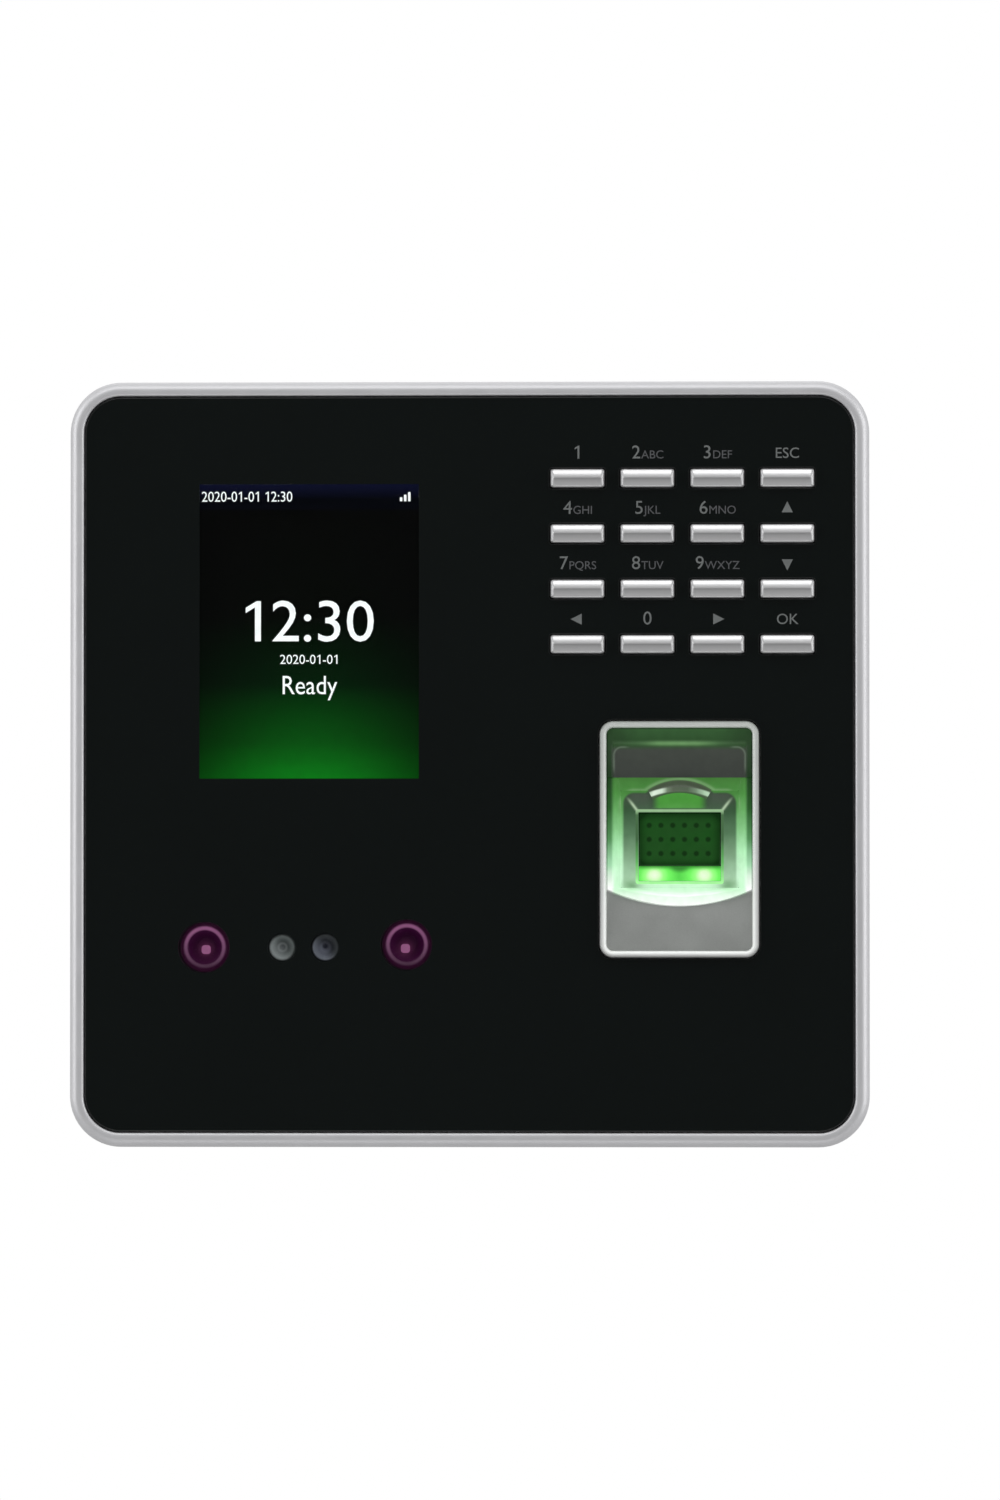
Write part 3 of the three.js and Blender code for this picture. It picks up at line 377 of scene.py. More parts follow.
def circle(x, y, radius, steps=48):
    """An outline: given how far it grows, the points round a circle."""

    def points(grow=0.0):
        angles = [2 * math.pi * i / steps for i in range(steps)]
        return [(x + (radius + grow) * math.cos(a), y + (radius + grow) * math.sin(a)) for a in angles]

    return points


def skin(loops, around=False, caps=True):
    """Faces over loops of equal length: a tube with closed ends, or a ring if it goes around."""
    count = len(loops[0])
    vertices = [point for loop in loops for point in loop]
    faces = []
    for k in range(len(loops) if around else len(loops) - 1):
        low, high = k * count, (k + 1) % len(loops) * count
        for i in range(count):
            j = (i + 1) % count
            faces.append((low + i, low + j, high + j, high + i))
    if caps and not around:
        faces.append(tuple(reversed(range(count))))
        faces.append(tuple(range(len(vertices) - count, len(vertices))))
    return vertices, faces


def renumbered(faces, start):
    return [tuple(i + start for i in face) for face in faces]


def together(*shapes):
    vertices, faces = [], []
    for more, more_faces in shapes:
        faces += renumbered(more_faces, len(vertices))
        vertices += more
    return vertices, faces


def moved(shape, x, y=0.0, z=0.0):
    return [(px + x, py + y, pz + z) for px, py, pz in shape[0]], shape[1]


def stack(outline, levels, caps=True, around=False):
    """A skin over an outline at [how far it grows, height] levels."""
    return skin([[(px, py, z) for px, py in outline(grow)] for grow, z in levels], around, caps)


def softened(steps=4):
    """How far in and how far up a rounded-over edge goes, from 0 to 1."""
    angles = [math.pi / 2 * i / steps for i in range(steps + 1)]
    return [(1 - math.cos(a), math.sin(a)) for a in angles]


def holds(rim, point):
    """Whether a convex counter-clockwise rim goes round a point."""
    for (ax, ay, _), (bx, by, _) in zip(rim, rim[1:] + rim[:1]):
        if (bx - ax) * (point[1] - ay) - (by - ay) * (point[0] - ax) < 0:
            return False
    return True


def sheet(vertices, rims):
    """Flat faces between an outer rim and the rims of holes, as triangles."""
    flat = [i for rim in rims for i in rim]
    index = {i: k for k, i in enumerate(flat)}
    edges = [(index[a], index[b]) for rim in rims for a, b in zip(rim, rim[1:] + rim[:1])]
    spots = [Vector(vertices[i][:2]) for i in flat]
    _, _, triangles, origin, _, _ = delaunay_2d_cdt(spots, edges, [], 0, 1e-6)
    faces = []
    for triangle in triangles:
        corners = [flat[origin[i][0]] for i in triangle]
        middle = [sum(vertices[i][axis] for i in corners) / 3 for axis in (0, 1)]
        if sum(holds([vertices[i] for i in rim], middle) for rim in rims) == 1:
            faces.append(tuple(corners))
    return faces


def plate(outer, holes, back, front, edge=0.25, plain=()):
    """A flat plate with through holes. Front edges are rounded over, but not those of plain holes."""
    vertices, faces, back_rims, front_rims = [], [], [], []
    for outline in [outer, *holes, *plain]:
        side = -1 if outline is outer else 1
        levels = [(0.0, back)]
        if outline in plain:
            levels.append((0.0, front))
        else:
            levels += [(side * edge * inward, front - edge + edge * up) for inward, up in softened(3)]
            levels.append((side * (edge + 0.1), front))
        wall, wall_faces = stack(outline, levels, caps=False)
        start, count = len(vertices), len(outline())
        vertices += wall
        faces += renumbered(wall_faces, start)
        back_rims.append(list(range(start, start + count)))
        front_rims.append(list(range(len(vertices) - count, len(vertices))))
    return vertices, faces + sheet(vertices, back_rims) + sheet(vertices, front_rims)


def turned(x, y, profile, steps=48):
    """A turned part on an axis along z, from [radius, height] points."""
    return skin([[(px, py, z) for px, py in circle(x, y, radius, steps)()] for radius, z in profile])


def brick(x0, x1, y0, y1, z0, z1, edge=0.15):
    """A box with softened edges."""
    outline = rounded((x0 + x1) / 2, (y0 + y1) / 2, x1 - x0, y1 - y0, edge, steps=3)
    return stack(outline, [(-edge, z0), (0, z0 + edge), (0, z1 - edge), (-edge, z1)])


def filling(place, back, front):
    """A brick over a node's whole outline."""
    return brick(place.left, place.right, place.bottom, place.top, back, front)


def make(name, shape, paint, replaces=(), body=BODY, sharp=35):
    """A piece from a shape, smooth-shaded up to the sharp angle, which rides on a body."""
    mesh = bpy.data.meshes.new(name)
    mesh.from_pydata([TO_ROW @ Vector(v) for v in shape[0]], [], shape[1])
    work = bmesh.new()
    work.from_mesh(mesh)
    bmesh.ops.remove_doubles(work, verts=work.verts, dist=1e-6)
    bmesh.ops.dissolve_degenerate(work, edges=work.edges, dist=1e-7)
    bmesh.ops.recalc_face_normals(work, faces=work.faces)
    work.to_mesh(mesh)
    work.free()
    mesh.shade_smooth()
    mesh.set_sharp_from_angle(angle=math.radians(sharp))
    mesh.materials.append(paint.material)
    thing = bpy.data.objects.new(name, mesh)
    bpy.context.scene.collection.objects.link(thing)
    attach(thing, body)
    if replaces:
        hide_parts(*replaces)


# ---- lettering


def letter_mesh(text):
    """Flat letters of the built-in font, in its own units, as a shape and a width."""
    curve = bpy.data.curves.new("letters", "FONT")
    curve.body = text
    curve.resolution_u = 4
    curve.extrude = 0.01
    thing = bpy.data.objects.new("letters", curve)
    bpy.context.scene.collection.objects.link(thing)
    bpy.context.view_layer.update()
    width = thing.dimensions.x
    mesh = bpy.data.meshes.new_from_object(thing.evaluated_get(bpy.context.evaluated_depsgraph_get()))
    shape = [tuple(v.co) for v in mesh.vertices], [tuple(p.vertices) for p in mesh.polygons]
    for made, home in ((thing, bpy.data.objects), (curve, bpy.data.curves), (mesh, bpy.data.meshes)):
        home.remove(made)
    return shape, width


def numeral_one(stem_left, stem, tall):
    """A figure one with a flag, which the built-in font lacks."""
    flag = 0.22 * tall
    outline = [
        (stem_left, 0), (stem_left + stem, 0), (stem_left + stem, tall), (stem_left + 0.3 * stem, tall),
        (stem_left - flag, tall - 0.75 * flag), (stem_left - flag, tall - 0.75 * flag - 0.9 * stem),
        (stem_left, tall - 0.45 * flag - 0.4 * stem),
    ]
    return skin([[(px, py, z) for px, py in outline] for z in (-0.01, 0.01)])


GLYPHS = {}
CAPITAL = max(y for _, y, _ in letter_mesh("H")[0][0])
STEM = letter_mesh("1")[1]


def glyph(char):
    """A character's shape and how far it moves the pen."""
    if char not in GLYPHS:
        advance = letter_mesh("H" + char + "H")[1] - letter_mesh("HH")[1]
        shape = letter_mesh(char)[0]
        if char == "1":
            advance = glyph("7")[1]
            shape = numeral_one(advance * 0.5, STEM, CAPITAL)
        GLYPHS[char] = shape, advance
    return GLYPHS[char]


def lettering(text, height, x, y, z, align=0.5, stretch=1.0):
    """Thin letters with capitals of a height. They start at x or lie about it: align 0 or 0.5."""
    tall = height / CAPITAL
    wide = tall * stretch
    pen, shapes = 0.0, []
    for char in text:
        (vertices, faces), advance = glyph(char)
        placed = [((pen + px) * wide, y + py * tall, z + pz + 0.01) for px, py, pz in vertices]
        shapes.append((placed, faces))
        pen += advance
    return moved(together(*shapes), x - align * pen * wide)


# ---- surfaces in common

SILVER = surface("silver_paint", (0.56, 0.56, 0.575), 0.46, metal=0.35, mottle=0.03, grain=0.12, depth=0.002)
BLACK_GLOSS = surface("gloss_black", (0.003, 0.0046, 0.0043), 0.07, patch=30, grain=2, depth=0.001)
SHELL_GREY = surface("moulded_grey", (0.030, 0.032, 0.035), 0.5, mottle=0.12, patch=9, depth=0.03)
BLACK_MATT = surface("black_plastic", (0.012, 0.012, 0.013), 0.55, mottle=0.15, grain=0.3, depth=0.02)
STEEL = surface("bright_steel", (0.50, 0.50, 0.51), 0.34, metal=0.95, depth=0.004, stretch=(0.1, 1, 1))
ZINC = surface("zinc_plate", (0.48, 0.49, 0.51), 0.42, metal=0.9, mottle=0.09, patch=4, depth=0.005)
BOARD_GREEN = surface("solder_mask", (0.015, 0.10, 0.035), 0.35, mottle=0.25, patch=3, grain=0.4, depth=0.02)
SILICONE = surface("silicone", (0.25, 0.26, 0.27), 0.75, grain=0.3)
FILM = surface("amber_film", (0.45, 0.22, 0.035), 0.35, mottle=0.15, grain=0.5, depth=0.004)
CHIP = surface("dark_resin", (0.02, 0.02, 0.022), 0.5, mottle=0.15, grain=0.2, depth=0.015)
GREEN_PLASTIC = surface("green_plastic", (0.02, 0.16, 0.05), 0.45, mottle=0.1, grain=0.3)
WHITE_PLASTIC = surface("white_plastic", (0.70, 0.70, 0.66), 0.45, mottle=0.06, grain=0.3)
LEGEND = surface("legend_ink", (0.140, 0.150, 0.148), 0.5, mottle=0.12, patch=2, grain=0.1, depth=0.002)
SMALL_LEGEND = surface("small_legend_ink", (0.078, 0.080, 0.085), 0.5, mottle=0.12, patch=2, depth=0.002)


def clear_paint():
    """Clear acrylic with a faintly uneven polish."""
    paint = Paint("clear_acrylic", base_color=(0.97, 0.98, 0.98), transmission_weight=1.0, ior=1.15)
    paint.set("roughness", paint.slope(paint.noise(8), 0.3, 0.7, 0.0, 0.03))
    return paint


CLEAR = clear_paint()

# ---- front housing, panel and windows

CORNER = 10
BAND = 2.75
PICTURE = (42.8, 57.4)
LAMP_VIEW, CAMERA_VIEW = 5.0, 2.8  # radii of the round windows
LAMPS = ["ir_lamp_left", "ir_lamp_right"]
CAMERAS = ["camera_left", "camera_right"]
KEY_CAP = (10.5, 3.55)
housing, panel, sensor = Place("front_housing"), Place("front_panel"), Place("sensor_bezel")
screen, eyes = Place("screen_window"), Place("eye_window")
keys = [name for name in frame["nodes"] if name.startswith("key_") and name not in ("key_mat", "key_board")]
FLOOR = (panel.back - 2.2, panel.back - 0.2)  # the housing's floor, behind the panel


def inside_housing(inset, steps=16):
    width, height = housing.width - 2 * inset, housing.height - 2 * inset
    return rounded(housing.x, housing.y, width, height, CORNER - inset, steps)


def eye_circles(lamp_radius, camera_radius):
    sizes = [(name, lamp_radius) for name in LAMPS] + [(name, camera_radius) for name in CAMERAS]
    return [circle(Place(name).x, Place(name).y, radius) for name, radius in sizes]


def boss(x, y, back, front):
    """A round boss with a screw hole in its foot."""
    deep = back + 7
    hole = [(0.05, deep), (1.5, deep), (1.5, back)]
    return turned(x, y, hole + [(3.2, back), (3.2, front), (0.05, front)], 24)


def housing_shape():
    crest, split = housing.front, housing.front - 9.8
    section = [
        (-0.5, split), (-0.1, split + 1), (0.0, crest - 2.6), (-0.03, crest - 2.0),
        (-0.16, crest - 1.4), (-0.42, crest - 0.85), (-0.8, crest - 0.42), (-1.2, crest - 0.14),
        (-1.6, crest), (-2.25, crest - 0.04), (-2.5, crest - 0.12), (-2.66, crest - 0.26),
        (-BAND, crest - 0.5), (-BAND, FLOOR[1]), (-BAND - 0.4, FLOOR[0]), (-2.2, FLOOR[0]),
        (-2.0, split),
    ]
    ring = stack(inside_housing(0), section, around=True)
    can, mat = Place("lcd_frame"), Place("key_mat")
    holes = [
        rounded(can.x, can.y, can.width + 0.8, can.height + 0.8, 0.3, 2),
        rounded(mat.x, mat.y, mat.width - 1.6, mat.height - 3, 0.3, 2),
        rounded(sensor.x, sensor.y, sensor.width - 1.4, sensor.height - 1.4, 0.3, 2),
        *eye_circles(LAMP_VIEW + 0.5, CAMERA_VIEW + 0.7),
    ]
    floor = plate(inside_housing(BAND), holes, *FLOOR, 0.1)
    screws = [Place(f"shell_screw_{i}") for i in (1, 2, 3, 4)]
    return together(ring, floor, *(boss(s.x, s.y, housing.back, FLOOR[0] + 0.3) for s in screws))


def panel_shape():
    gap, seam = 0.2, 0.01
    outer = inside_housing(BAND + 0.3)
    width, height = (size + 2 * gap for size in KEY_CAP)
    holes = [rounded(Place(name).x, Place(name).y, width, height, 0.6, 5) for name in keys]
    holes.append(rounded(sensor.x, sensor.y, sensor.width + 0.5, sensor.height + 0.5, 2.8))
    view = rounded(screen.x, screen.y, PICTURE[0] + 2 * seam, PICTURE[1] + 2 * seam, 0.1, 2)
    plain = [view, *eye_circles(LAMP_VIEW + seam, CAMERA_VIEW + seam)]
    return plate(outer, holes, panel.back, panel.front, 0.22, plain)


def screen_window_shape():
    flange, wide = screen.back + 0.7, (screen.width - PICTURE[0]) / 2
    face = rounded(screen.x, screen.y, *PICTURE, 0.1, 2)
    return stack(face, [(wide, screen.back), (wide, flange), (0, flange), (0, screen.front)])


def eye_window_shape():
    """A strip with a round face standing up through the panel for each lamp and camera."""
    flange = eyes.back + 0.7
    strip = rounded(eyes.x, eyes.y, eyes.width, eyes.height, 0.5, 3)
    vertices, faces = stack(strip, [(0, eyes.back), (0, flange)])
    faces.pop()
    count = len(strip())
    rims = [list(range(count, 2 * count))]
    for view in eye_circles(LAMP_VIEW, CAMERA_VIEW):
        start, around = len(vertices), len(view())
        wall, wall_faces = stack(view, [(0, flange), (0, eyes.front)])
        wall_faces.pop(-2)
        vertices += wall
        faces += renumbered(wall_faces, start)
        rims.append(list(range(start, start + around)))
    return vertices, faces + sheet(vertices, rims)


def make_front():
    make("housing", housing_shape(), SILVER, ["front_housing"])
    make("panel", panel_shape(), BLACK_GLOSS, ["front_panel"])
    make("screen_cover", screen_window_shape(), CLEAR, ["screen_window"])
    make("eye_cover", eye_window_shape(), CLEAR, ["eye_window"])


# ---- keypad

LETTERS = {"2": "ABC", "3": "DEF", "4": "GHI", "5": "JKL", "6": "MNO", "7": "PQRS", "8": "TUV", "9": "WXYZ"}
LEGENDS = {"key_" + digit: (digit, LETTERS.get(digit, "")) for digit in "0123456789"}
LEGENDS |= {"key_esc": ("", "ESC"), "key_ok": ("", "OK")}
ARROWS = {"key_up": 90, "key_down": -90, "key_left": 180, "key_right": 0}
LEGEND_RISE = 4.9  # from a key's middle up to its legend's middle


def key_paint():
    """Satin silver with painted light and shade: a painted highlight on the upper slope, and painted shade
    on the facet, at the ends and along the upper edge.
    """
    paint = Paint("key_silver", metallic=0.65)
    where = paint.node("TexCoord").outputs["Generated"]
    from_left, _, from_foot = paint.node("SeparateXYZ", {0: where}).outputs
    key = Place("key_5")
    x = paint.slope(from_left, 0.0, 1.0, -key.width / 2, key.width / 2)
    y = paint.slope(from_foot, 0.0, 1.0, -key.height / 2, key.height / 2)
    # painted light and shade across the cap: lighter on the upper slope, darker on the facet and at the
    # upper edge
    lit_tones = [(-1.8, 0.56), (-1.3, 0.60), (-0.4, 0.46), (-0.1, 0.38), (0.2, 0.76), (1.2, 0.80), (1.75, 0.45)]
    color = paint.ramp(y, [(at, (tone, tone, tone * 1.01)) for at, tone in lit_tones])
    # painted shade at the two ends
    end_shade = paint.step(paint.size(x), 4.5, 4.9)
    paint.set("base_color", paint.blend(end_shade, color, (0.36, 0.36, 0.365)))
    paint.set("roughness", paint.slope(paint.noise(0.3), 0.3, 0.7, 0.34, 0.42))
    return paint


def key_shape(name):
    """A bar-shaped cap: a long upper slope, short end slopes and a facet below the middle."""
    key = Place(name)
    width, height = KEY_CAP
    base = rounded(key.x, key.y, width, height, 0.45, 5)()
    top, bottom = key.y - 0.05, key.y - height / 2 + 0.32
    facet = rounded(key.x, (top + bottom) / 2, width - 1.5, top - bottom, 0.22, 5)
    shoulder = key.front - 0.95

    def facet_height(y):
        return key.front - 0.22 * (top - y)

    loops = [[(px, py, key.front - 3.7) for px, py in base]]
    for inward, up in softened(8):
        share = 0.75 * inward + 0.25 * up**2
        loop = []
        for (bx, by), (fx, fy) in zip(base, facet()):
            z = shoulder + (facet_height(fy) - shoulder) * up
            loop.append((bx + (fx - bx) * share, by + (fy - by) * share, z))
        loops.append(loop)
    loops.append([(px, py, facet_height(py)) for px, py in facet(-0.12)])
    flange = filling(key, key.back + 0.85, key.back + 1.95)
    plunger = brick(key.x - 1.7, key.x + 1.7, key.y - 1, key.y + 1, key.back, key.back + 1)
    return together(skin(loops), flange, plunger)


def legend_shapes(name):
    """The main legend over a key, and small letters beside it if there are any."""
    key = Place(name)
    x, y, z = key.x, key.y + LEGEND_RISE, panel.front - 0.005
    if name in ARROWS:
        tip = 1.35
        angles = [math.radians(ARROWS[name] + turn) for turn in (0, 127, 233)]
        corners = [(x + tip * math.cos(a), y + tip * math.sin(a)) for a in angles]
        return skin([[(px, py, z + lift) for px, py in corners] for lift in (0.0, 0.02)]), None
    numeral, letters = LEGENDS[name]
    if not numeral:
        return lettering(letters, 2.0, x, y - 1.0, z), None
    if not letters:
        return lettering(numeral, 2.5, x, y - 1.05, z), None
    first = lettering(numeral, 2.5, 0, y - 1.05, z, align=0)
    second = lettering(letters, 1.55, 1.9, y - 1.05, z, align=0)
    shift = x - max(px for px, _, _ in second[0]) / 2
    return moved(first, shift), moved(second, shift)


def make_keypad():
    silver = key_paint()
    for name in keys:
        make(name + "_cap", key_shape(name), silver, [name], body=name, sharp=50)
    main, small = zip(*(legend_shapes(name) for name in keys))
    make("keypad_legends", together(*main), LEGEND)
    make("keypad_letters", together(*filter(None, small)), SMALL_LEGEND)


# ---- screen

# The glow on the screen, as rows of a share of the picture's height and a colour.
GLOW_TONES = [(0.0, 10, 112, 22), (0.12, 6, 74, 14), (0.32, 2, 26, 6), (0.55, 2, 4, 2), (1.0, 2, 2, 2)]
STATUS_BAR = 0.918  # where the bar along the top begins, as a share of the picture's height


def picture_paint():
    """The lit screen: black, with a plain green glow at its foot and a dark blue bar along the top."""
    paint = unlit("lit_picture", (0.001, 0.001, 0.001), 0.3, 0.05)
    x, y, _ = paint.place(screen.x, screen.y)
    u = paint.slope(x, -PICTURE[0] / 2, PICTURE[0] / 2)
    v = paint.slope(y, -PICTURE[1] / 2, PICTURE[1] / 2)
    glow = paint.blend(paint.hump(u, 0.5, 0.45), srgb(2, 2, 2), paint.shades(v, GLOW_TONES))
    stops = [(STATUS_BAR, 2, 3, 9), (0.95, 1, 2, 5), (1.0, 10, 13, 36)]
    bar = paint.step(v, STATUS_BAR - 0.003, STATUS_BAR)
    return glowing(paint, paint.blend(bar, glow, paint.shades(v, stops)), 1.1)


def signal_mark(x, y, z):
    """Three plain bars, each taller than the last."""
    bars = []
    for step in range(3):
        tall = 0.8 + 0.5 * step
        outline = rounded(x + 0.8 * (step - 1), y - 0.9 + tall / 2, 0.5, tall, 0.1, 2)
        bars.append(stack(outline, [(0, z), (0, z + 0.02)]))
    return together(*bars)


def screen_words(z):
    """A clock, a date and a word on the screen, placed as shares of the picture."""
    width, height = PICTURE
    left, bottom = screen.x - width / 2, screen.y - height / 2
    lines = [
        ("2020-01-01 12:30", 0.034, 0.003, 0.944, 0, 0.875),
        ("12:30", 0.137, 0.489, 0.468, 0.5, 1.04),
        ("2020-01-01", 0.031, 0.498, 0.391, 0.5, 0.965),
        ("Ready", 0.062, 0.496, 0.288, 0.5, 0.86),
    ]
    words = []
    for text, tall, u, v, align, stretch in lines:
        x, y = left + u * width, bottom + v * height
        words.append(lettering(text, tall * height, x, y, z, align, stretch))
    return together(*words, signal_mark(left + 0.935 * width, bottom + 0.960 * height, z))


def make_screen():
    lcd = Place("lcd_panel")
    white = glowing(Paint("screen_white", base_color=(0.1, 0.1, 0.1), roughness=0.3), (0.93, 0.97, 0.96))
    glass = filling(lcd, lcd.back, lcd.front - 0.05)
    make("screen_picture", glass, picture_paint(), ["lcd_panel"])
    make("screen_words", screen_words(lcd.front - 0.04), white)


# ---- lamps and cameras


def lamp_paint(name, lamp, die_x, die_y):
    """Smoky magenta: a lit ring round a dark bowl."""
    paint = unlit(name, (0.004, 0.001, 0.003), 0.4, 0.05)
    x, y, _ = paint.place(lamp.x, lamp.y)
    r = paint.away(x, y)
    ring = paint.times(paint.step(r, 3.15, 3.6), paint.fall(r, 3.8, 4.3))
    lit = paint.shades(y, [(-4.2, 64, 42, 58), (0, 108, 70, 98), (4.2, 138, 84, 122)])
    stops = [(0, 30, 8, 26), (2.0, 28, 4, 24), (3.3, 38, 0, 33), (4.4, 38, 6, 30)]
    bowl = paint.shades(r, stops + [(5.0, 18, 11, 17)])
    halo = paint.times(paint.hump(paint.away(paint.minus(x, die_x), paint.minus(y, die_y)), 0, 1.3), 0.6)
    warm = paint.blend(halo, bowl, srgb(96, 42, 78))
    return glowing(paint, paint.blend(ring, warm, lit))


def lamp_shape(lamp):
    """A cup with a rounded lip and a deep bowl."""
    rim = lamp.front
    profile = [
        (0.05, lamp.back + 2), (1.8, lamp.back + 2), (2.6, rim - 2.6), (3.1, rim - 1.0),
        (3.25, rim - 0.4), (3.45, rim - 0.1), (3.75, rim), (4.05, rim - 0.1), (4.3, rim - 0.4),
        (4.6, rim - 0.6), (4.95, rim - 0.8), (4.95, lamp.back), (0.05, lamp.back),
    ]
    return turned(lamp.x, lamp.y, profile)


def camera_paint(name, camera, rings, highlight, shade, pupil):
    """Glass and barrel seen through the window, all in painted light: rings of grey, with a painted
    highlight towards the lower left and painted shade elsewhere.
    """
    paint = unlit(name, (0.006, 0.006, 0.006), 0.3, 0.1)
    x, y, _ = paint.place(camera.x, camera.y)
    r = paint.away(x, y)
    grey = paint.shades(r, rings)
    # painted highlight towards the lower left; painted shade darkens the rest by the shade share
    lower_left_highlight = paint.times(paint.fall(paint.add(x, y), -2.8, 1.4), paint.fall(r, 2.3, 2.7))
    bright = paint.blend(highlight[0], grey, highlight[1])
    lit = paint.blend(lower_left_highlight, paint.blend(shade, grey, (0.0, 0.0, 0.0)), bright)
    off = paint.away(paint.minus(x, pupil[0]), paint.minus(y, pupil[1]))
    dark = paint.step(off, pupil[2] * 0.6, pupil[2] * 1.4, pupil[3], 0.0)
    return glowing(paint, paint.blend(dark, lit, srgb(18, 19, 28)))


def camera_shape(camera):
    """A square base and a round barrel with a domed lens in a conical mouth."""
    rim = camera.front
    barrel = [
        (0.05, camera.back + 3), (3.1, camera.back + 3), (3.1, rim - 1.1), (2.7, rim - 1.0),
        (2.7, rim - 0.15), (2.55, rim), (2.35, rim), (2.2, rim - 0.12), (1.9, rim - 0.5),
        (1.7, rim - 0.62), (1.6, rim - 0.6), (1.2, rim - 0.42), (0.8, rim - 0.3), (0.4, rim - 0.23),
        (0.05, rim - 0.21),
    ]
    return together(turned(camera.x, camera.y, barrel), filling(camera, camera.back, camera.back + 3.1))


def make_eyes():
    die_paint = glowing(Paint("lamp_die", base_color=(0.02, 0.01, 0.015), roughness=0.4), srgb(140, 84, 122))
    for name, die_x, die_y in ((LAMPS[0], 0.0, -0.47), (LAMPS[1], -0.47, -0.74)):
        lamp = Place(name)
        cup_paint = lamp_paint(name + "_glow", lamp, die_x, die_y)
        make(name + "_cup", lamp_shape(lamp), cup_paint, [name])
        top = lamp.back + 2.8
        levels = [(0, top - 0.9), (0, top - 0.2), (-0.15, top - 0.05), (-0.4, top)]
        die = stack(rounded(lamp.x + die_x, lamp.y + die_y, 1.75, 1.75, 0.6, 5), levels)
        make(name + "_die", die, die_paint)
    left, right = Place(CAMERAS[0]), Place(CAMERAS[1])
    left_rings = [
        (0.0, 84, 88, 90), (0.4, 58, 62, 63), (0.75, 96, 101, 101), (1.15, 60, 65, 65),
        (1.7, 84, 90, 89), (2.1, 96, 102, 101), (2.4, 50, 54, 53), (2.6, 22, 25, 25), (2.8, 14, 16, 16),
    ]
    right_rings = [
        (0.0, 48, 50, 60), (0.9, 68, 71, 80), (1.3, 44, 47, 52), (1.9, 62, 66, 70), (2.3, 74, 78, 80),
        (2.6, 28, 31, 32), (2.8, 14, 16, 16),
    ]
    # colours of the painted highlight on each lens
    pale, bluish = (0.35, srgb(140, 145, 146)), (0.45, srgb(100, 104, 116))
    looks = [
        ("left_lens", left, left_rings, pale, 0.35, (0.0, 0.05, 0.2, 0.25)),
        ("right_lens", right, right_rings, bluish, 0.6, (-0.05, 0.25, 0.5, 0.9)),
    ]
    paints = [camera_paint(*look) for look in looks]
    for look, node, paint in zip(looks, CAMERAS, paints):
        make("camera_" + look[0], camera_shape(look[1]), paint, [node])


# ---- fingerprint sensor

# Measures from the sensor's own middle.
CUP = (28.4, 43.4)  # mouth of the bezel
RAMP_SIDE, RAMP_MIDDLE = -9.6, -12.9  # height of the ramp's curved edge, at its ends and in its middle
RAMP_Z = (29.9, 31.1)
RAMP_DIP = RAMP_SIDE - RAMP_MIDDLE
RAMP_RADIUS = ((CUP[0] / 2) ** 2 + RAMP_DIP**2) / (2 * RAMP_DIP)
BLOCK = rounded(0, 0.1, 22.6, 18.6, 2.6)
BLOCK_FOOT = rounded(0, 0.1, 22.96, 18.96, 0.2)
BLOCK_TOP = rounded(0, -1.4, 17, 14.4, 0.4)
STOP_INNER = (11.0, -1.9, 0.49)  # radius, middle and reach of the finger stop's inner arc
STOP_OUTER = (11.2, 0.4, 0.59)  # and of its outer one
GLASS = (16.1, 5.3, -8.1)  # width, top and bottom of the opening in the block
HOOD_FOOT = 12.1  # where the hood meets the light guide


def ramp_edge(x, margin=0.0):
    return RAMP_MIDDLE + RAMP_RADIUS - math.sqrt((RAMP_RADIUS + margin) ** 2 - x * x)


def on_sensor(shape):
    return moved(shape, sensor.x, sensor.y)


def bezel_shape():
    """A frame with a rounded rim and a skirt behind it."""
    rim, back, flange = sensor.front, sensor.back, panel.back - 0.05
    section = [
        (-1.0, back), (-1.0, flange), (0.0, flange), (0.0, rim - 0.65), (-0.06, rim - 0.38),
        (-0.2, rim - 0.17), (-0.42, rim - 0.04), (-0.65, rim), (-0.88, rim - 0.04), (-1.1, rim - 0.17),
        (-1.24, rim - 0.38), (-1.3, rim - 0.65), (-1.3, back + 2.2), (-2.2, back + 2.2), (-2.2, back),
    ]
    return on_sensor(stack(rounded(0, 0, sensor.width, sensor.height, 2.6), section, around=True))


def rim_paint():
    """Silver with a painted highlight that fades to painted shade towards its outer edge, and painted
    greenish shade towards the top of the frame.
    """
    paint = Paint("rim_silver", metallic=0.1)
    x, y, _ = paint.place(sensor.x, sensor.y)
    off = paint.outside(x, y, sensor.width / 2, sensor.height / 2, 2.6)
    # painted highlight near the inner edge, fading to painted shade at the outer edge
    lit_tones = [(-1.3, 0.60), (-0.95, 0.95), (-0.65, 0.85), (-0.35, 0.50), (0.0, 0.22)]
    color = paint.ramp(off, [(at, (tone * 0.98, tone, tone * 0.98)) for at, tone in lit_tones])
    # painted greenish shade towards the top of the frame
    top_shade = paint.step(y, -20.0, 20.0, 0.0, 0.4)
    paint.set("base_color", paint.blend(top_shade, color, (0.22, 0.26, 0.22)))
    paint.set("roughness", paint.slope(paint.noise(0.4), 0.3, 0.7, 0.42, 0.5))
    return paint


def ramp_shape():
    """The finger ramp across the foot of the frame, with a curved upper edge."""
    foot, half, columns = -CUP[1] / 2 - 0.1, CUP[0] / 2 + 0.1, 36
    back = sensor.back + 2.3
    fall = (RAMP_Z[1] - RAMP_Z[0]) / (RAMP_MIDDLE - foot)
    loops = []
    for column in range(columns + 1):
        x = half * (2 * column / columns - 1)
        edge = ramp_edge(min(x, CUP[0] / 2))
        high = RAMP_Z[1] - fall * (edge - foot)
        loop = [(x, foot, RAMP_Z[1]), (x, foot, back), (x, edge, back)]
        loop += [(x, edge - 0.2 * inward, high - 0.2 + 0.2 * up) for inward, up in softened()]
        loops.append(loop)
    return on_sensor(skin(loops))


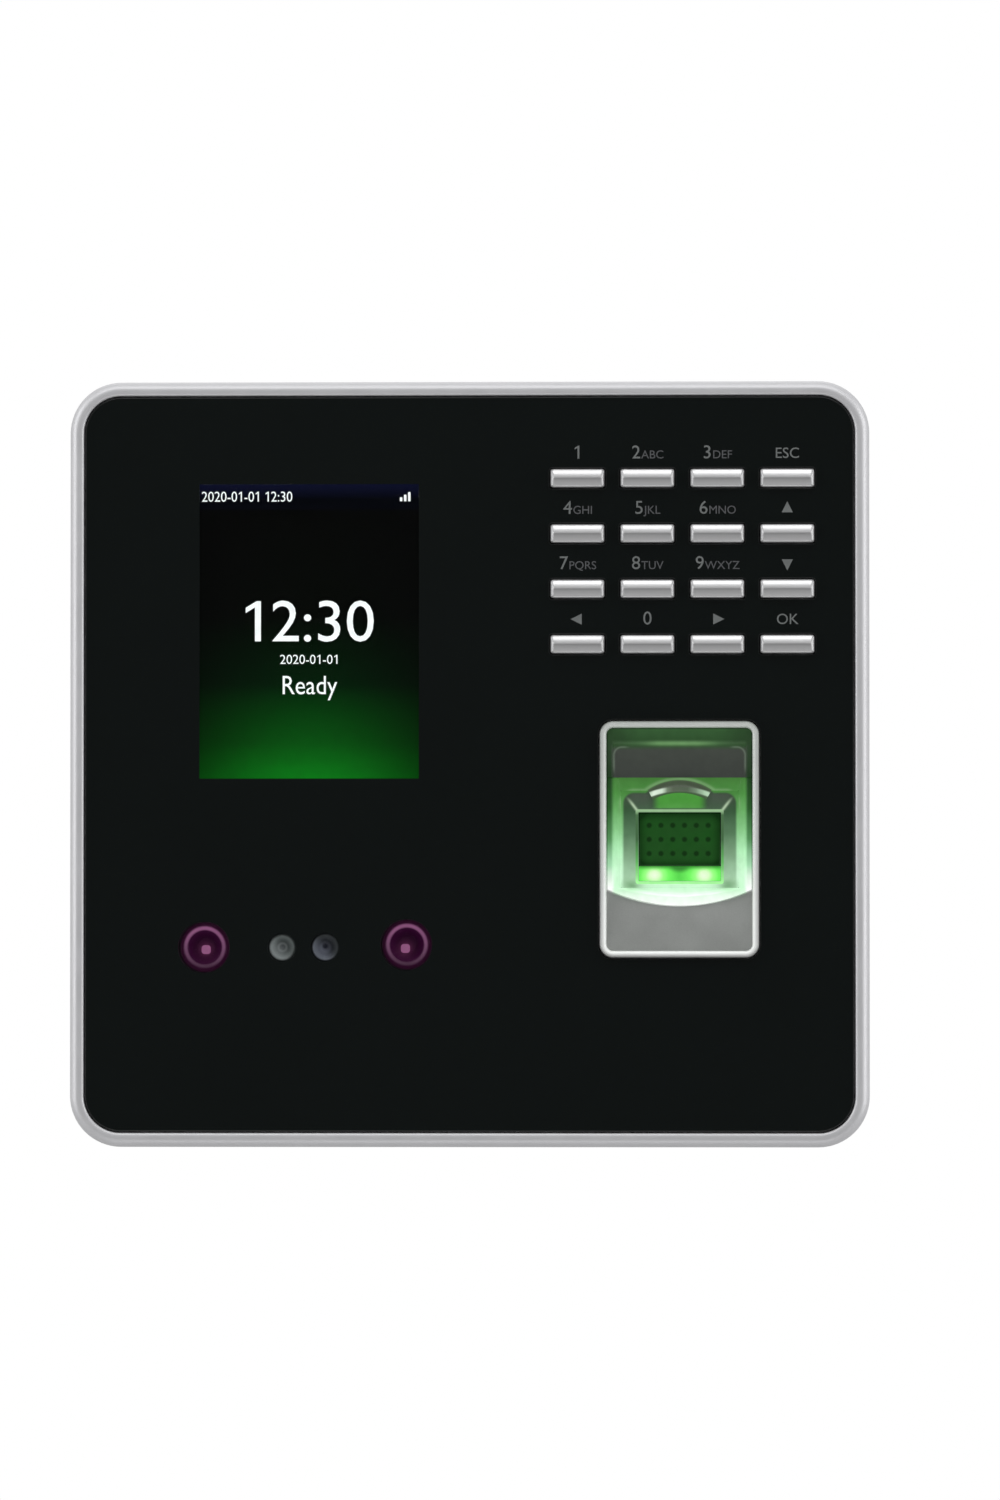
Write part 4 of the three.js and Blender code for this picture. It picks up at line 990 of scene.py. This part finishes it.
def hood_shape():
    """A sloping wall with a strip above it and a raised edge at each side."""
    back, high = Place("sensor_hood").back, CUP[1] / 2 - 0.2
    slope = [
        (HOOD_FOOT, back), (high, back), (high, 30.5), (19.4, 30.3), (19.0, 30.22), (18.7, 30.02),
        (18.45, 29.72), (18.2, 29.3), (HOOD_FOOT, 26.8),
    ]
    half, edge = CUP[0] / 2 - 0.2, 30.35

    def loop(x, sunk):
        return [(x, y, z * sunk + max(z, edge) * (1 - sunk) if z > back else z) for y, z in slope]

    left = [(-half, 0), (-half + 0.8, 0), (-half + 1.0, 0.1), (-half + 1.2, 0.85), (-half + 1.6, 1)]
    right = [(-x, sunk) for x, sunk in reversed(left)]
    return on_sensor(skin([loop(x, sunk) for x, sunk in left + right]))


def hood_paint():
    """Smoked plastic, all in painted light: painted green light and a painted glint along its upper edge,
    painted shade at the upper sides and on the side walls, and a painted highlight along each side's bend.
    """
    paint = unlit("hood_smoke", (0.006, 0.007, 0.006), 0.5, 0.2)
    x, y, _ = paint.place(sensor.x, sensor.y)
    across = paint.size(x)
    stops = [
        (12.0, 50, 54, 50), (17.4, 56, 61, 55), (18.1, 42, 70, 40), (18.7, 58, 94, 54),
        (19.4, 36, 72, 34), (21.5, 48, 86, 46),
    ]
    glint = paint.times(paint.hump(y, 18.7, 0.42), paint.step(across, 3.0, 8.5, 0.85, 0.0))
    middle = paint.blend(glint, paint.shades(y, stops), srgb(102, 148, 92))
    # painted shade at the upper sides
    upper_side_shade = paint.times(paint.step(across, 7.0, 13.0, 0.0, 0.5), paint.step(y, 17.8, 18.6))
    middle = paint.blend(upper_side_shade, middle, srgb(24, 44, 22))
    # painted highlight along the bend at each side
    bend = paint.away(paint.over(across, 11.2), paint.over(y, 16.4))
    beside = paint.times(paint.step(y, 12.5, 14.5), paint.step(across, 9.5, 11.0))
    highlight_line = paint.times(paint.hump(bend, 1.6, 0.18), beside, 0.22)
    # painted light and shade on the side walls
    side = paint.shades(y, [(12.0, 20, 50, 20), (16, 34, 56, 34), (20, 34, 62, 32)])
    edged = paint.blend(paint.step(across, 12.6, 13.4), middle, side)
    return glowing(paint, paint.blend(highlight_line, edged, srgb(150, 170, 148)))


def guide_shape():
    """A tray round the block, with a lip that widens to a crescent at its foot."""
    back, lip, floor = Place("sensor_light_guide").back, Place("sensor_light_guide").front, 26.4
    half = CUP[0] / 2 - 0.2

    def loop(inset, reach, z, top_z, low=None, top=HOOD_FOOT):
        right = half - inset
        columns = [right * (i / 12 - 1) for i in range(25)]
        foot = [ramp_edge(x, -0.03) + reach * (1.7 - 0.8 * (x / half) ** 2) for x in columns]
        foot = [min(y, -9.5) if low is None else low for y in foot]
        heights = [foot[-1] + (top - 0.25 - foot[-1]) * i / 5 for i in range(1, 6)]
        points = [(x, y, z) for x, y in zip(columns, foot)]
        points += [(right, y, z) for y in heights]
        points += [(x, top, top_z) for x in reversed(columns)]
        return points + [(-right, y, z) for y in reversed(heights)]

    lips = [
        (0.06, 0.04, lip - 0.08), (0.2, 0.15, lip), (0.65, 0.8, lip), (0.8, 0.95, lip - 0.08),
        (0.88, 1.0, lip - 0.25), (1.0, 1.08, lip - 1.0), (1.3, 1.2, lip - 2.4), (1.7, 1.35, lip - 3.4),
        (2.1, 1.5, floor + 0.05),
    ]
    loops = [loop(0, 0, back, back), loop(0, 0, lip - 0.25, floor - 0.05)]
    loops += [loop(inset, reach, z, floor) for inset, reach, z in lips]
    loops += [loop(half - 11.5, 0, z, z, low=-9.4, top=9.6) for z in (floor, back)]
    return on_sensor(skin(loops, around=True))


# The light in the guide, as rows of a height and a colour.
CORE = [
    (-13.2, 255, 255, 255), (-11.2, 238, 255, 240), (-9.6, 206, 253, 212), (-7.0, 204, 246, 210),
    (-2.0, 174, 232, 180), (2.0, 132, 194, 132), (6.0, 96, 160, 90), (9.0, 72, 134, 62),
    (12.0, 64, 116, 52),
]


def outside_block(paint, x, y):
    """How far a point lies outside the soft outline of the block and its finger stop."""
    from_block = paint.outside(x, paint.add(y, 10.0), 11.35, 19.45, 2.45)
    from_stop = paint.minus(paint.away(x, paint.minus(y, STOP_OUTER[1])), STOP_OUTER[0] + 0.1)
    return paint.math("MINIMUM", from_block, from_stop)


def foot_shadow(paint, x, y):
    """Soft dimness at the block's two lower corners."""
    across = paint.minus(paint.size(x), 9.3)
    return paint.hump(paint.away(across, paint.times(paint.add(y, 9.0), 1.7)), 0, 1.9)


def guide_paint():
    """Translucent plastic lit green from below: dim at the top, white at the foot."""
    paint = unlit("guide_glow", (0.01, 0.03, 0.01), 0.3, 0.2)
    x, y, _ = paint.place(sensor.x, sensor.y)
    across = paint.size(x)
    edge = [
        (-9.7, 255, 255, 255), (-8.0, 232, 246, 233), (-5.0, 160, 212, 170), (0.0, 78, 134, 82),
        (6.0, 32, 78, 32), (12.0, 18, 48, 18),
    ]
    rim = paint.step(across, 12.5, 13.4)
    color = paint.blend(rim, paint.shades(y, CORE), paint.shades(y, edge))
    off = outside_block(paint, x, y)
    # painted highlight along the outline of the block and its finger stop
    highlight_line = paint.times(paint.hump(off, 0.15, 0.35), paint.step(y, 3.0, 8.5), 0.5)
    # painted shadow at the block's lower corners
    shaded = paint.blend(paint.times(foot_shadow(paint, x, y), 0.5), color, srgb(122, 172, 120))
    return glowing(paint, paint.blend(highlight_line, shaded, srgb(134, 170, 124)))


def block_shape():
    """A block with sloping sides round a rectangular opening."""
    back = Place("sensor_block").back
    width, top, bottom = GLASS
    opening = rounded(0, (top + bottom) / 2, width, top - bottom, 0.2)
    levels = [(BLOCK_FOOT, 0, back), (BLOCK_FOOT, 0, 25.6), (BLOCK, 0, 25.65), (BLOCK, -0.3, 25.85)]
    levels += [(BLOCK_TOP, 0.1, 27.24), (BLOCK_TOP, -0.05, 27.3)]
    levels += [(opening, 0.1, 27.3), (opening, 0, 27.2), (opening, 0, back)]
    loops = [[(px, py, z) for px, py in outline(grow)] for outline, grow, z in levels]
    return on_sensor(skin(loops, around=True))


def block_paint():
    """Grey plastic in painted light: painted green light from its foot, painted highlights along its upper
    creases, painted green light under the finger stop and painted shadow at its lower corners.
    """
    paint = unlit("block_grey", (0.008, 0.010, 0.008), 0.4, 0.15)
    x, y, z = paint.place(sensor.x, sensor.y)
    across = paint.size(x)
    sides = [
        (-9.2, 180, 222, 182), (-6.5, 156, 196, 160), (-3.0, 122, 158, 124), (1.0, 84, 120, 87),
        (5.5, 54, 84, 57), (8.4, 58, 72, 58),
    ]
    rims = [
        (-8.6, 168, 250, 158), (-4.5, 96, 178, 92), (0.0, 62, 98, 62), (4.8, 70, 106, 68),
        (5.6, 150, 188, 142),
    ]
    # painted highlight along the upper creases, from the window's top corners outwards
    upper = paint.times(paint.step(y, 5.5, 5.7), paint.fall(y, 6.6, 8.6))
    off = paint.minus(paint.minus(across, 8.35), paint.times(paint.minus(y, 5.75), 0.74))
    crease_highlight = paint.times(paint.hump(off, 0, 0.32), upper, 0.7)
    # painted green light under the finger stop
    under_stop_light = paint.times(paint.fall(across, 3.6, 5.6), paint.step(y, 5.9, 6.3))
    color = paint.blend(under_stop_light, paint.shades(y, sides), srgb(74, 148, 60))
    color = paint.blend(crease_highlight, color, srgb(198, 224, 188))
    color = paint.blend(paint.step(outside_block(paint, x, y), -0.6, 0.0), color, paint.shades(y, CORE))
    # painted guide light over the block's foot
    foot = paint.times(paint.step(y, -9.2, -8.2, 0.9, 0.0), paint.step(across, 8.0, 11.0, 1.0, 0.3))
    color = paint.blend(foot, color, paint.shades(y, CORE))
    # painted shadow at the block's lower corners
    color = paint.blend(paint.times(foot_shadow(paint, x, y), 0.75), color, srgb(90, 140, 90))
    # painted light on the flat rim round the window
    return glowing(paint, paint.blend(paint.step(z, 27.2, 27.28), color, paint.shades(y, rims)))


def finger_stop_shape():
    """A crescent ridge over the block's upper edge, thinner towards its two ends."""
    high = Place("sensor_block").front
    loops = []
    for step in range(25):
        turn = 1 - step / 12
        (x0, y0), (x1, y1) = (
            (-radius * math.sin(reach * turn), middle + radius * math.cos(reach * turn))
            for radius, middle, reach in (STOP_INNER, STOP_OUTER)
        )
        top = high - 0.35 * turn**6
        section = [(0, 25.2), (0, top - 0.6), (0.05, top - 0.25), (0.16, top - 0.05), (0.3, top)]
        section += [(0.45, top - 0.06), (0.65, top - 0.35), (0.85, top - 1.0), (1, top - 1.9), (1, 25.2)]
        loops.append([(x0 + (x1 - x0) * share, y0 + (y1 - y0) * share, z) for share, z in section])
    return on_sensor(skin(loops))


def finger_stop_paint():
    """The grey of the block in painted light, with painted highlights towards the ridge's two ends."""
    paint = unlit("finger_stop_grey", (0.01, 0.011, 0.01), 0.3, 0.2)
    x, y, _ = paint.place(sensor.x, sensor.y)
    stops = [
        (-6.4, 96, 130, 92), (-5.7, 190, 214, 188), (-5.0, 222, 240, 220), (-3.4, 206, 226, 204),
        (-2.4, 112, 128, 106), (-1.2, 84, 96, 78), (1.6, 80, 96, 76), (3.2, 112, 136, 110),
        (4.8, 168, 200, 168), (5.7, 180, 210, 180), (6.4, 80, 112, 78),
    ]
    radius, middle, _ = STOP_INNER
    share = paint.minus(paint.away(x, paint.minus(y, middle)), radius)
    share = paint.add(share, paint.times(x, x, -0.012))
    # painted highlights along the ridge, brightest towards its ends, and painted light and shade beyond it
    ridge = paint.times(paint.step(share, 0.1, 0.45), paint.fall(share, 0.95, 1.35))
    beyond = paint.blend(paint.step(share, 0.4, 0.6), srgb(60, 84, 54), srgb(66, 78, 60))
    return glowing(paint, paint.blend(ridge, beyond, paint.shades(x, stops)))


def prism_paint():
    """Dark green optical glass with a painted green glow and painted shade towards its edges, over a faint
    grid of dots.
    """
    paint = Paint("optical_green", base_color=(0.002, 0.012, 0.002), roughness=0.06)
    x, y, _ = paint.place(sensor.x, sensor.y)
    spots = []
    for place, start, pitch in ((x, -7.1, 2.3), (y, -4.1, 2.75)):
        share = paint.math("FRACT", paint.math("DIVIDE", paint.minus(place, start), pitch))
        spots.append(paint.times(paint.minus(share, 0.5), pitch))
    dot = paint.step(paint.away(*spots), 0.3, 0.7, 0.9, 0.0)
    across = paint.size(x)
    within = paint.times(paint.fall(across, 6.7, 6.9), paint.fall(y, 4.0, 4.15))
    # painted shade towards the edges of the window
    edge = paint.add(paint.hump(across, 8.1, 1.2), paint.hump(y, 5.3, 1.2), paint.hump(y, -5.1, 0.9))
    # painted green glow, a little uneven
    field = paint.blend(paint.times(paint.noise(5), 0.5), srgb(20, 72, 20), srgb(36, 60, 34))
    field = paint.blend(paint.math("MINIMUM", paint.times(edge, 0.85), 1.0), field, srgb(4, 36, 4))
    return glowing(paint, paint.blend(paint.times(dot, within), field, srgb(6, 32, 6)))


def led_paint():
    """Green light, nearly white at each lamp."""
    paint = Paint("led_glow", base_color=(0.05, 0.2, 0.04), roughness=0.4)
    x, y, _ = paint.place(sensor.x, sensor.y)
    off_x = paint.minus(paint.size(paint.add(x, 0.1)), 4.85)
    r = paint.away(paint.times(off_x, 0.85), paint.add(y, 7.0))
    stops = [
        (0.0, 236, 255, 222), (0.8, 216, 255, 196), (1.5, 152, 250, 130), (2.4, 104, 230, 88),
        (4.0, 76, 200, 66),
    ]
    notch = paint.step(paint.away(paint.times(x, 0.6), paint.add(y, 5.2)), 0.5, 1.6, 0.85, 0.0)
    top = paint.times(paint.step(y, -6.1, -5.1), 0.85)
    color = paint.blend(notch, paint.shades(r, stops), srgb(26, 90, 26))
    return glowing(paint, paint.blend(top, color, srgb(34, 110, 32)))


def led_shape(name):
    """A small lamp with a domed lens."""
    led = Place(name)
    body = filling(led, led.back, led.back + 2.8)
    dome = [(0.05, led.back + 2.6), (1.0, led.back + 2.6), (1.0, led.back + 2.9), (0.9, led.back + 3.3)]
    dome += [(0.6, led.back + 3.6), (0.3, led.back + 3.68), (0.05, led.back + 3.7)]
    return together(body, turned(led.x, led.y, dome, 24))


def make_sensor():
    bright = rim_paint()
    satin = surface("ramp_silver", (0.60, 0.625, 0.60), 0.34, metal=0.8, patch=9, depth=0.003)
    make("sensor_frame", bezel_shape(), bright, ["sensor_bezel"])
    make("sensor_ramp", ramp_shape(), satin, ["sensor_bezel"])
    make("sensor_shade", hood_shape(), hood_paint(), ["sensor_hood"])
    make("sensor_guide", guide_shape(), guide_paint(), ["sensor_light_guide"])
    make("sensor_body", block_shape(), block_paint(), ["sensor_block"], sharp=25)
    make("sensor_finger_stop", finger_stop_shape(), finger_stop_paint(), ["sensor_block"])
    glass = Place("sensor_prism")
    window = filling(glass, glass.back, glass.front)
    make("sensor_glass", window, prism_paint(), ["sensor_prism"])
    light = led_paint()
    for name in ("sensor_led_left", "sensor_led_right"):
        make(name + "_lit", led_shape(name), light, [name])
    width, _, bottom = GLASS
    half, low = width / 2 - 0.05, glass.back + 2.9
    strip = brick(-half, half, bottom + 0.05, glass.bottom - sensor.y - 0.05, low, low + 0.3)
    make("sensor_led_strip", on_sensor(strip), light)


# ---- pieces kept from the CAD

SCREWS = ["lock_screw"] + [f"shell_screw_{i}" for i in (1, 2, 3, 4)]
KEPT = {
    SILICONE: ["key_mat"],
    BOARD_GREEN: ["key_board", "eye_board", "sensor_board", "main_board"],
    STEEL: ["lcd_frame", "rj45_jack", "usb_port", "processor_shield", "coin_cell", "reset_switch"] + SCREWS,
    FILM: ["lcd_cable"],
    BLACK_MATT: ["sensor_case", "dc_jack", "coin_cell_holder", "tamper_switch"],
    CHIP: ["sensor_imager", "speaker"],
    GREEN_PLASTIC: ["terminal_block"],
    WHITE_PLASTIC: ["tamper_plunger", "reset_plunger"],
    SHELL_GREY: ["rear_shell"],
    ZINC: ["wall_plate"],
}


def dress(node, paint):
    """Gives a CAD node its material, softened edges and clean shading, and leaves its mesh alone."""
    thing = frame["nodes"][node]
    for place in thing.material_slots:
        place.material = paint.material
    weld = thing.modifiers.new("weld", "WELD")
    weld.merge_threshold = 0.002 * MM
    flat = thing.modifiers.new("flat", "DECIMATE")
    flat.decimate_type = "DISSOLVE"
    flat.angle_limit = math.radians(0.5)
    soft = thing.modifiers.new("soft", "BEVEL")
    soft.width = 0.15 * MM
    soft.segments = 2
    soft.limit_method = "ANGLE"
    soft.angle_limit = math.radians(40)
    soft.harden_normals = True


make_camera()
make_lights()
make_world()
make_floor()
make_front()
make_keypad()
make_screen()
make_eyes()
make_sensor()
for paint, nodes in KEPT.items():
    for node in nodes:
        dress(node, paint)
bpy.context.scene.view_settings.view_transform = "Standard"
